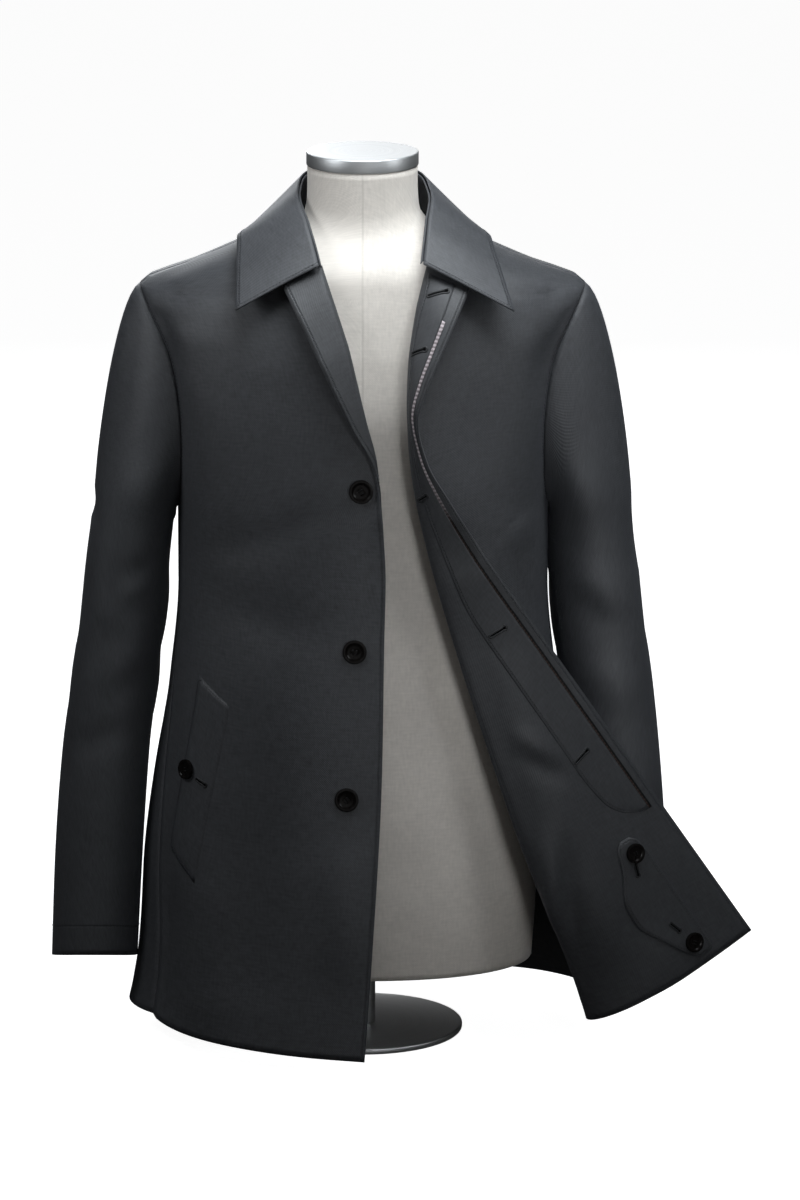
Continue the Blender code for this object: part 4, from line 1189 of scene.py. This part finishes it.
# %% Fly and tab
FLY_LIFT, FLY_WALL, FLUSH, TAB_LIFT = 0.0002, 0.0006, 0.0001, 0.0003
FLY_FLAT, PIPING_COLUMNS = 0.3, 3
ALL_ROUND = ("first_row", "last_row", "first_column", "last_column")
placket, piping = [], []
for level in fine_levels(FLY_FOOT + (PIPING_TOP, FLY_TOP)):
    outer, inner = FLY.at(level, "outer"), FLY.at(level, "inner")
    row = []
    for k in range(PLACKET_COLUMNS + 1):
        sunk = (FLY_WALL + FLY_LIFT - FLUSH) * smooth((k / PLACKET_COLUMNS - FLY_FLAT) / (1 - FLY_FLAT))
        row.append(left_panel.at(level, outer + (inner - outer) * k / PLACKET_COLUMNS, sunk - FLY_LIFT)[0])
    placket.append(row)
    if level <= PIPING_TOP:
        reach = [outer - GAP - PIPING_WIDTH * (1 - k / PIPING_COLUMNS) for k in range(PIPING_COLUMNS + 1)]
        piping.append([left_panel.at(level, distance, -FLY_LIFT)[0] for distance in reach])
placket = np.array(placket)
# The fly strip and the tab take the darker trim, which is partly painted shade.
sheet("fly_placket_cloth", placket, trim_with_shade, FLY_WALL, -1.0, stitched=("last_column", "first_row"))
sheet("fly_piping_cloth", np.array(piping), lining, FLY_WALL, -1.0)

tab = []
for level in fine_levels(tuple(float(x) for x in TAB.data[0])):
    inner, outer = TAB.at(level, "inner"), TAB.at(level, "outer")
    tab.append([left_panel.at(level, inner + (outer - inner) * k / TAB_COLUMNS, -TAB_LIFT)[0]
                for k in range(TAB_COLUMNS + 1)])
tab = np.array(tab)
sheet("storm_tab_cloth", tab, trim_with_shade, THIN, -1.0, stitched=ALL_ROUND)


print("rows in the fly:", len(placket), "in the tab:", len(tab))

# %% [markdown]
# A pocket's welt is a slanted strip on the outside of each front. Its mouth stands off a little.

# %% Pocket welts
WELT_STAND, WELT_WALL, WELT_RISE = 0.0010, 0.0007, 0.006


def welt_points(panel, from_end):
    """A slanted welt on the shell of a front: sewn down flush at three sides, standing off at its free edge."""
    corner = {name: np.array(at) for name, at in POCKET.items()}
    length = abs(corner["top_outer"][0] - corner["bottom_outer"][0])
    rows = []
    for i in range(WELT_ROWS + 1):
        up = i / WELT_ROWS
        outer, inner = (corner[f"bottom_{side}"] * (1 - up) + corner[f"top_{side}"] * up
                        for side in ("outer", "inner"))
        ends = float(smooth(min(up, 1 - up) * length / WELT_RISE))
        row = []
        for k in range(WELT_COLUMNS + 1):
            lift = CLOTH_WALL + FLUSH - WELT_WALL + WELT_STAND * ends * (1 - k / WELT_COLUMNS)
            row.append(panel.at(*(outer + (inner - outer) * k / WELT_COLUMNS), lift, from_end)[0])
        rows.append(row[::-1] if from_end else row)
    return np.array(rows)


welts = {"right": welt_points(right_panel, False), "left": welt_points(left_panel, True)}
for side, points in welts.items():
    sheet(f"pocket_welt_{side}_cloth", points, welt, WELT_WALL, 1.0,
          stitched=("first_row", "last_row", "first_column" if side == "right" else "last_column"))
print("sheets:", len(SHEETS))

# %% [markdown]
# Topstitching is a row of short thread loops, each a few millimetres long and sunk a little into the
# cloth. One small spindle is set down again and again along a line that runs beside the edge.

# %% A row of stitches
STITCH_PITCH, STITCH_LENGTH, STITCH_RADIUS = 0.0036, 0.0027, 0.00034
SPINDLE_SIDES, SPINDLE_RINGS, SPINDLE_FLAT = 6, (-0.26, 0.26), 1.3
PROUD, LEAST_NORMAL = 0.0001, 0.5


def beside(points, borders, inset, lift, rows=slice(None)):
    """Lines of points a little inside some borders of a grid, each with the normals there."""
    lines = []
    for border in borders:
        grid, facing = points[rows], normals_of(points)[rows]
        if border.endswith("row"):
            grid, facing = grid.swapaxes(0, 1), facing.swapaxes(0, 1)
        if border.startswith("last"):
            grid, facing = grid[:, ::-1], facing[:, ::-1]
        line, out = [], []
        for row, ways in zip(grid, facing):
            run = run_along(row)
            normal = between(inset, run, ways)
            length = np.linalg.norm(normal)
            if run[-1] > inset and length > LEAST_NORMAL:
                line.append(between(inset, run, row) + normal / length * lift)
                out.append(normal / length * math.copysign(1.0, lift))
        lines.append((np.array(line), np.array(out)))
    return lines


def stitch_row(name, sheet_name, lines):
    """One mesh of all the stitches along the lines, riding with the sheet that they are sewn to."""
    bm = bmesh.new()
    count = 0
    for line, facing in lines:
        run = run_along(line)
        for at in np.arange(STITCH_PITCH, run[-1] - STITCH_PITCH, STITCH_PITCH):
            ends = [between(at + step, run, line) for step in (-STITCH_LENGTH / 2, STITCH_LENGTH / 2)]
            middle, along = (ends[0] + ends[1]) / 2, ends[1] - ends[0]
            along /= np.linalg.norm(along)
            across = np.cross(between(at, run, facing), along)
            across /= np.linalg.norm(across)
            normal = np.cross(along, across)
            tips = [bm.verts.new(end - normal * STITCH_RADIUS) for end in ends]
            rings = []
            for step in SPINDLE_RINGS:
                rings.append([bm.verts.new(middle + along * STITCH_LENGTH * step + STITCH_RADIUS
                                           * (across * SPINDLE_FLAT * math.cos(turn) + normal * math.sin(turn)))
                              for turn in np.linspace(0, 2 * math.pi, SPINDLE_SIDES, endpoint=False)])
            for k in range(SPINDLE_SIDES):
                j = (k + 1) % SPINDLE_SIDES
                for corners in ((tips[0], rings[0][j], rings[0][k]),
                                (rings[0][k], rings[0][j], rings[1][j], rings[1][k]),
                                (rings[1][k], rings[1][j], tips[1])):
                    bm.faces.new(corners).smooth = True
            count += 1
    bmesh.ops.recalc_face_normals(bm, faces=bm.faces)
    obj = piece_of(bm, name, thread)
    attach(obj, "root")
    SHEETS[sheet_name].setdefault("with", []).append(obj)
    print(name, count, "stitches")


print("stitches to a metre:", round(1 / STITCH_PITCH))

# %% [markdown]
# Front edges, armholes, collar, fly, tab, welts and cuffs are stitched. The edge of the left front shows
# from both sides, so it is stitched on both.

# %% Stitch the coat
OUT = CLOTH_WALL + PROUD
below_throat = slice(0, LEVELS.index(THROAT) + 1)
stitch_row("front_right_stitches", "front_right_cloth",
           beside(right, ("last_column",), EDGE_STITCH, OUT, below_throat)
           + beside(right, ("first_column",), EDGE_STITCH, OUT, armhole))
stitch_row("facing_stitches", "facing_right_cloth", beside(strip, ("last_column",), EDGE_STITCH, -THIN - PROUD))
stitch_row("front_left_stitches", "front_left_cloth",
           beside(left, ("first_column",), EDGE_STITCH, OUT, below_throat)
           + beside(left, ("first_column",), EDGE_STITCH, -PROUD, below_throat)
           + beside(left, ("last_column",), EDGE_STITCH, OUT, armhole))
stitch_row("back_stitches", "back_cloth",
           beside(back, ("first_column", "last_column"), EDGE_STITCH, OUT, armhole))
stitch_row("collar_stitches", "collar_fall_cloth",
           beside(collar, ("first_row", "first_column", "last_column"), EDGE_STITCH, OUT))
stitch_row("fly_stitches", "fly_placket_cloth",
           beside(placket, ("last_column", "first_row"), TRIM_STITCH, -FLY_WALL - PROUD))
stitch_row("tab_stitches", "storm_tab_cloth", beside(tab, ALL_ROUND, TRIM_STITCH, -THIN - PROUD))
for side, points in welts.items():
    stitch_row(f"welt_{side}_stitches", f"pocket_welt_{side}_cloth",
               beside(points, ("first_row", "last_row"), TRIM_STITCH, WELT_WALL + PROUD))
for side, points in sleeves.items():
    stitch_row(f"cuff_{side}_stitches", f"sleeve_{side}_cloth", beside(points, ("last_row",), HEM_STITCH, OUT))

# %% [markdown]
# Small turned pieces are worked on one at a time: some faces are picked, or one modifier is added and applied.

# %% Working on one piece
def alone():
    """Nothing selected."""
    bpy.ops.object.select_all(action="DESELECT")


def select_faces(obj, test):
    """Edit mode, with only the faces that pass the test selected."""
    bpy.context.view_layer.objects.active = obj
    bpy.ops.object.mode_set(mode="EDIT")
    bpy.ops.mesh.select_mode(type="FACE")
    bpy.ops.mesh.select_all(action="DESELECT")
    bm = bmesh.from_edit_mesh(obj.data)
    for face in bm.faces:
        face.select_set(test(face))
    bmesh.update_edit_mesh(obj.data)


def apply(obj, kind, **settings):
    """Add one modifier, set it and apply it."""
    made = obj.modifiers.new(kind.lower(), kind)
    for key, value in settings.items():
        setattr(made, key, value)
    alone()
    obj.select_set(True)
    bpy.context.view_layer.objects.active = obj
    bpy.ops.object.modifier_apply(modifier=made.name)


print("tools:", select_faces.__name__, apply.__name__)

# %% [markdown]
# A horn button is turned on a lathe: a disc, a rounded rim, a dished middle, four drilled holes. Here it
# starts as a cylinder; insets make the dish, a boolean drills the holes and a bevel rounds the rim.

# %% The button
BUTTON_HEIGHT, BUTTON_BEVEL = 0.0030, 0.00035
# The dish, from the rim inwards: a share of the radius and how far it goes down there.
DISH = ((0.20, 0.0), (0.10, -0.0009), (0.14, -0.0003))
HOLE_PLACE, HOLE_RADIUS = 0.15, 0.075
BAR_LENGTH, BAR_WIDTH, BAR_HEIGHT, BAR_RISE = 1.5, 0.75, 0.00045, 0.0020


def turned_button(radius):
    """A four-hole button standing on the origin, facing +Z."""
    alone()
    bpy.ops.mesh.primitive_cylinder_add(vertices=48, radius=radius, depth=BUTTON_HEIGHT,
                                        location=(0, 0, BUTTON_HEIGHT / 2))
    obj = bpy.context.object
    bpy.ops.object.transform_apply(location=True)
    select_faces(obj, lambda face: face.normal.z > 0.9)
    for width, drop in DISH:
        bpy.ops.mesh.inset(thickness=radius * width, depth=drop)
    bpy.ops.object.mode_set(mode="OBJECT")
    for x, y in ((-1, -1), (-1, 1), (1, -1), (1, 1)):
        place = (x * HOLE_PLACE * radius, y * HOLE_PLACE * radius, BUTTON_HEIGHT / 2)
        bpy.ops.mesh.primitive_cylinder_add(vertices=12, radius=HOLE_RADIUS * radius, depth=0.01,
                                            location=place)
        drill = bpy.context.object
        apply(obj, "BOOLEAN", object=drill, operation="DIFFERENCE", solver="EXACT")
        bpy.data.objects.remove(drill)
    apply(obj, "BEVEL", width=BUTTON_BEVEL, segments=2, limit_method="ANGLE", angle_limit=math.radians(35))
    bpy.ops.object.shade_smooth_by_angle(angle=math.radians(40))
    return obj


def sewing(radius):
    """Two bars of thread over the holes of a button."""
    alone()
    bars = []
    for side in (-1, 1):
        bpy.ops.mesh.primitive_uv_sphere_add(segments=10, ring_count=6, radius=1.0)
        bar = bpy.context.object
        bar.scale = (HOLE_PLACE * radius * BAR_LENGTH, HOLE_RADIUS * radius * BAR_WIDTH, BAR_HEIGHT)
        bar.location = (0.0, side * HOLE_PLACE * radius, BAR_RISE)
        bpy.ops.object.transform_apply(location=True, scale=True)
        bpy.ops.object.shade_smooth()
        bars.append(bar)
    for bar in bars:
        bar.select_set(True)
    bpy.context.view_layer.objects.active = bars[0]
    bpy.ops.object.join()
    return bars[0]


def frame_at(point, facing, along):
    """A matrix that stands +Z on the facing and turns +X towards along."""
    up = Vector(facing).normalized()
    side = up.cross(Vector(along)).normalized()
    turned = Matrix((side.cross(up), side, up)).transposed()
    return Matrix.Translation(Vector(point)) @ turned.to_4x4()


def settled(name, pattern, matrix, finish):
    """A copy of a pattern piece, moved into place in its mesh."""
    mesh = pattern.data.copy()
    mesh.name = name
    mesh.transform(matrix)
    mesh.materials.clear()
    mesh.materials.append(finish)
    obj = put_in_scene(name, mesh)
    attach(obj, "root")
    return obj


print("steps in the dish of a button:", len(DISH))

# %% [markdown]
# Buttons are sewn on by hand, so no two are turned the same way. One pattern for each size is copied to
# every place and then thrown away.

# %% Sew the buttons on
WELT_CLEAR = 0.0012
FIRST_TURN, NEXT_TURN, TURN_TILT = 0.5, 0.9, 0.3
places = {}
for count, (height, x) in enumerate(FRONT_BUTTONS, 1):
    arc = arc_at_x(height, x)
    places[f"front_button_{count}"] = (lay(height, arc) + outward(height, arc) * (WALL + GAP),
                                       outward(height, arc), FRONT_BUTTON)
for side, panel, from_end in (("right", right_panel, False), ("left", left_panel, True)):
    lift = CLOTH_WALL + WELT_WALL + WELT_CLEAR
    places[f"pocket_button_{side}"] = (*panel.at(*POCKET_BUTTON, lift, from_end), SMALL_BUTTON)
for which, (level, reach) in TAB_BUTTONS.items():
    point, facing = left_panel.at(level, reach, -(THIN + 3 * GAP))
    places[f"tab_button_{which}"] = (point, -facing, SMALL_BUTTON)
patterns = {radius: (turned_button(radius), sewing(radius)) for radius in (FRONT_BUTTON, SMALL_BUTTON)}
for count, (name, (point, facing, radius)) in enumerate(places.items()):
    angle = FIRST_TURN + NEXT_TURN * count
    matrix = frame_at(point, facing, (math.cos(angle), TURN_TILT, math.sin(angle)))
    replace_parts(settled(f"{name}_horn", patterns[radius][0], matrix, horn), name)
    settled(f"{name}_sewing", patterns[radius][1], matrix, sewn)
for pair in patterns.values():
    for pattern in pair:
        bpy.data.objects.remove(pattern)
print("buttons:", len(places))

# %% [markdown]
# A buttonhole is a slit bound by close loops of thread, with a round eye at one end for the button's
# shank. The points of a torus are spread along that outline for the bound rim.

# %% The shape of a buttonhole
HOLE_WIDTH, RIM, RIM_START, RIM_HEIGHT = 0.0032, 0.0011, 0.01, 0.7
EYE, EYE_FROM, EYE_TO = 1.5, 0.55, 0.78
SLIT_HEIGHT, SLIT_WIDTH = 0.00045, 0.45


def keyhole(share, length):
    """A place on a buttonhole's outline and the way out from it, by the share of the way round."""
    radius = HOLE_WIDTH / 2
    half, turn = length / 2 - radius, math.pi * radius
    way = share * (4 * half + 2 * turn)
    if way < 2 * half:
        return way - half, -radius, 0.0, -1.0
    if 2 * half + turn <= way < 4 * half + turn:
        return 3 * half + turn - way, radius, 0.0, 1.0
    if way < 2 * half + turn:
        middle, angle = half, (way - 2 * half) / turn * math.pi - math.pi / 2
    else:
        middle, angle = -half, (way - 4 * half - turn) / turn * math.pi + math.pi / 2
    across, up = math.cos(angle), math.sin(angle)
    return middle + radius * across, radius * up, across, up


def eye_swell(x, length):
    """How much wider a buttonhole is at a place along it than at its neck."""
    return 1 + (EYE - 1) * float(smooth(np.array((x / (length / 2) - EYE_FROM) / (EYE_TO - EYE_FROM))))


def bound_rim(length):
    """A long narrow ring of thread with an eye at its far end, lying flat at the origin along X."""
    alone()
    bpy.ops.mesh.primitive_torus_add(major_segments=88, minor_segments=8, major_radius=RIM_START,
                                     minor_radius=RIM)
    obj = bpy.context.object
    for vert in obj.data.vertices:
        off = math.hypot(vert.co.x, vert.co.y) - RIM_START
        x, y, way_x, way_y = keyhole((math.atan2(vert.co.y, vert.co.x) / (2 * math.pi)) % 1.0, length)
        wide = eye_swell(x, length)
        vert.co = (x + way_x * off, y * wide + way_y * off, vert.co.z * RIM_HEIGHT)
    bpy.ops.object.shade_smooth()
    return obj


def slit_shade_lens(length):
    """Painted shade for the opening inside a buttonhole: a near-black thin lens."""
    alone()
    bpy.ops.mesh.primitive_uv_sphere_add(segments=48, ring_count=6, radius=1.0)
    obj = bpy.context.object
    obj.scale = (length / 2, HOLE_WIDTH / 2, SLIT_HEIGHT)
    bpy.ops.object.transform_apply(scale=True)
    for vert in obj.data.vertices:
        vert.co.y *= SLIT_WIDTH * eye_swell(vert.co.x, length) ** 3
    bpy.ops.object.shade_smooth()
    return obj


print("buttonhole width:", HOLE_WIDTH, "m")

# %% [markdown]
# Each hole is given by its two ends. A ray from every point of it finds the cloth underneath.

# %% Sew the buttonholes
LOOK_FROM, LOOK_REACH = 0.012, 0.03
# The two ends of each hole: height and distance from the panel's edge.
FLY_HOLES = (((0.7770, 0.0385), (0.7890, 0.0190)), ((0.7230, 0.0365), (0.7380, 0.0190)),
             ((0.5820, 0.0410), (0.5920, 0.0270)), ((0.4370, 0.0510), (0.4450, 0.0290)),
             ((0.2840, 0.0550), (0.2920, 0.0330)))
TAB_HOLES = {"upper": ((0.166, 0.0620), (0.150, 0.0680)), "lower": ((0.0935, 0.0690), (0.079, 0.0650))}
WELT_HOLE = ((0.2905, 0.0580), (0.2865, 0.0720))
INSIDE_LIFT, WELT_LIFT = -0.002, 0.003


def lay_on(obj, tree, matrix, facing):
    """Move each point of a flat piece onto the cloth below it, keeping its own height."""
    up = Vector(facing)
    for vert in obj.data.vertices:
        flat = matrix @ Vector((vert.co.x, vert.co.y, 0.0))
        hit = tree.ray_cast(flat + up * LOOK_FROM, -up, LOOK_REACH)[0]
        vert.co = (flat if hit is None else hit) + up * vert.co.z


def buttonhole(name, sheet_name, panel, ends, lift, from_end=False):
    """A bound hole between two places on a panel, sewn to the sheet that lies there."""
    start, facing = panel.at(*ends[0], lift, from_end)
    stop, _ = panel.at(*ends[1], lift, from_end)
    facing = facing * math.copysign(1.0, lift)
    length = float(np.linalg.norm(stop - start))
    matrix = frame_at((start + stop) / 2, facing, stop - start)
    tree = BVHTree.FromObject(SHEETS[sheet_name]["obj"], bpy.context.evaluated_depsgraph_get())
    # The slit is a near-black lens, painted shade in the opening.
    for part, pattern, finish in (("rim", bound_rim(length), silk), ("slit_shade", slit_shade_lens(length), slit_shade)):
        obj = settled(f"{name}_{part}", pattern, Matrix(), finish)
        lay_on(obj, tree, matrix, facing)
        bpy.data.objects.remove(pattern)
        SHEETS[sheet_name].setdefault("with", []).append(obj)


for count, ends in enumerate(FLY_HOLES, 1):
    buttonhole(f"fly_hole_{count}", "fly_placket_cloth", left_panel, ends, INSIDE_LIFT)
for which, ends in TAB_HOLES.items():
    buttonhole(f"tab_hole_{which}", "storm_tab_cloth", left_panel, ends, INSIDE_LIFT)
for side, panel in (("right", right_panel), ("left", left_panel)):
    buttonhole(f"welt_hole_{side}", f"pocket_welt_{side}_cloth", panel, WELT_HOLE, WELT_LIFT, side == "left")
print("buttonholes:", len(FLY_HOLES) + len(TAB_HOLES) + len(welts))

# %% [markdown]
# Every cloth piece says how it was cut: its size along both threads and its area. The coat hangs from the
# form's shoulders, and each small piece lies on the panel that it is sewn to.

for name, cut in SHEETS.items():
    print(name, "cut", [round(x, 3) for x in cut["flat"]], "m, area", round(cut["area"], 4), "m2")

# %% [markdown]
# The form is a smooth torso under one linen cover, with no arms or head. The cover's seam runs down the
# middle of the front, where its two edges meet.

# %% Dress form
FORM_FOOT, FORM_HEAD, FORM_COLUMNS = 0.080, 0.887, 49
rows = []
for level in fine_levels((FORM_FOOT, FORM_HEAD)):
    x, y, run = ring(level, FORM)
    reach = np.linspace(0.0, run[-1], FORM_COLUMNS)
    half_ring = np.array([(np.interp(at, run, x), np.interp(at, run, y), level) for at in reach])
    rows.append(np.concatenate((half_ring, (half_ring * (-1, 1, 1))[-2::-1])))
form = np.array(rows)
bm = grid_mesh(form, edge=border_distance(form, ("first_column", "last_column")))
bmesh.ops.holes_fill(bm, edges=[edge for edge in bm.edges if edge.is_boundary], sides=0)
bmesh.ops.recalc_face_normals(bm, faces=bm.faces)
torso = piece_of(bm, "form_torso_linen", linen)
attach(torso, "root")
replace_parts(torso, "form_torso")
print("form faces:", len(torso.data.polygons))

# %% [markdown]
# The neck cap, the column and the base are turned discs with a small rounded edge. A cylinder with a
# bevelled rim is the whole shape; the rings of the lathe are in the finish.

# %% Cap and stand
DISCS = {"neck_cap": 0.0014, "stand_column": 0.0006, "stand_base": 0.0018}


def turned_disc(name, node, bevel):
    """A cylinder in the box of a CAD node, with its rims rounded."""
    low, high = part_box(node)
    alone()
    bpy.ops.mesh.primitive_cylinder_add(vertices=96, radius=(high.x - low.x) / 2, depth=high.z - low.z,
                                        location=(low + high) / 2)
    obj = bpy.context.object
    obj.name = obj.data.name = name
    bpy.ops.object.transform_apply(location=True)
    select_faces(obj, lambda face: abs(face.normal.z) > 0.9)
    bpy.ops.mesh.inset(thickness=bevel * 2, depth=0.0)
    bpy.ops.object.mode_set(mode="OBJECT")
    apply(obj, "BEVEL", width=bevel, segments=3, limit_method="ANGLE", angle_limit=math.radians(60))
    bpy.ops.object.shade_smooth_by_angle(angle=math.radians(45))
    obj.data.materials.append(steel)
    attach(obj, "root")
    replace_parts(obj, node)


for node, bevel in DISCS.items():
    turned_disc(f"{node}_steel", node, bevel)
print("steel pieces:", len(DISCS))

# %% [markdown]
# A catalogue picture is taken on a white sweep. It glows a little, so that it stays white behind the coat,
# and its light is kept off the cloth.

# %% Stage
COOL, CLEAR, WHITE = (0.91, 0.96, 1.0), (0.94, 0.97, 1.0), (1.0, 1.0, 1.0)
FLOOR_SIZE, FLOOR_TONE, FLOOR_GLOW, AIR_GLOW = 30.0, (0.80, 0.80, 0.80), 0.95, 0.02


def pale_sweep():
    made, tree, shader = finish_of("pale_sweep")
    cloudy = noise(tree, own_place(tree), 3.0, 3.0)
    plug(tree, shader, {"Base Color": tinted(tree, FLOOR_TONE, cloudy, 0.99, 1.0), "Roughness": 0.9,
                        "Emission Color": (*WHITE, 1.0), "Emission Strength": FLOOR_GLOW})
    return made


alone()
bpy.ops.mesh.primitive_plane_add(size=1.0)
floor = bpy.context.object
floor.name = "floor"
floor.scale = (FLOOR_SIZE, FLOOR_SIZE, 1.0)
bpy.ops.object.transform_apply(scale=True)
floor.data.materials.append(pale_sweep())
floor.visible_diffuse = floor.visible_glossy = False
print("floor:", FLOOR_SIZE, "m wide")

# %% [markdown]
# The lights are soft. Two are close above, so collar and shoulders are bright, the skirt falls off and each
# edge throws a soft shadow. One from each side opens the sleeves, a narrow one lifts the left sleeve, one
# lights the back, and large pale ones show in the steel.

# %% Lights
# Each light: where it is, what it looks at, how wide it is, its power in watts, its colour and its spread.
LIGHTS = {
    "top": ((0.02, -0.16, 1.45), (0.0, -0.10, 0.70), 0.5, 6.5, COOL, 180.0),
    "top_left": ((0.35, -0.25, 1.45), (0.10, -0.05, 0.65), 0.5, 4.7, COOL, 180.0),
    "side_left": ((1.10, -0.50, 0.95), (0.20, 0.0, 0.60), 0.5, 2.6, CLEAR, 180.0),
    "sleeve_left": ((0.70, -1.60, 0.70), (0.26, 0.0, 0.42), 0.5, 0.5, CLEAR, 40.0),
    "side_right": ((-0.95, -0.60, 1.15), (-0.15, 0.0, 0.65), 0.5, 5.0, CLEAR, 180.0),
    "card": ((0.0, 3.0, 1.63), (0.0, 0.0, 0.9), 1.6, 9.0, WHITE, 180.0),
    "low_card": ((0.0, 3.0, 0.75), (0.0, 0.0, 0.0), 1.4, 5.0, WHITE, 180.0),
    "rear": ((-0.45, 1.50, 1.30), (0.0, 0.0, 0.55), 0.7, 7.0, CLEAR, 180.0),
    "fill": ((0.0, -2.5, 0.30), (0.0, 0.0, 0.88), 1.3, 3.0, WHITE, 180.0),
}
for name, (place, aim, size, power, colour, spread) in LIGHTS.items():
    lamp = bpy.data.lights.new(name, "AREA")
    lamp.shape, lamp.size, lamp.energy, lamp.color = "DISK", size, power, colour
    lamp.spread = math.radians(spread)
    obj = put_in_scene(name, lamp)
    obj.location = place
    obj.rotation_euler = (Vector(aim) - Vector(place)).to_track_quat("-Z", "Y").to_euler()
    obj.visible_camera = False

world = bpy.data.worlds.new("studio")
bpy.context.scene.world = world
world.use_nodes = True
plug(world.node_tree, world.node_tree.nodes["Background"], {"Color": (*WHITE, 1.0), "Strength": AIR_GLOW})
bpy.context.scene.view_settings.view_transform = "Standard"
print("lights:", ", ".join(LIGHTS))

# %% [markdown]
# A long lens from far away keeps the coat's lines straight, as in a catalogue.

# %% Camera
CAMERA_PLACE, CAMERA_TILT, CAMERA_LENS, CAMERA_SENSOR = (0.037, -7.5, 2.28), 76.25, 231.6, 36.0
camera = put_in_scene("camera", bpy.data.cameras.new("camera"))
camera.location = CAMERA_PLACE
camera.rotation_euler = (math.radians(CAMERA_TILT), 0.0, 0.0)
camera.data.lens, camera.data.sensor_width = CAMERA_LENS, CAMERA_SENSOR
camera.data.dof.use_dof = False
bpy.context.scene.camera = camera
print("camera lens:", CAMERA_LENS, "mm")
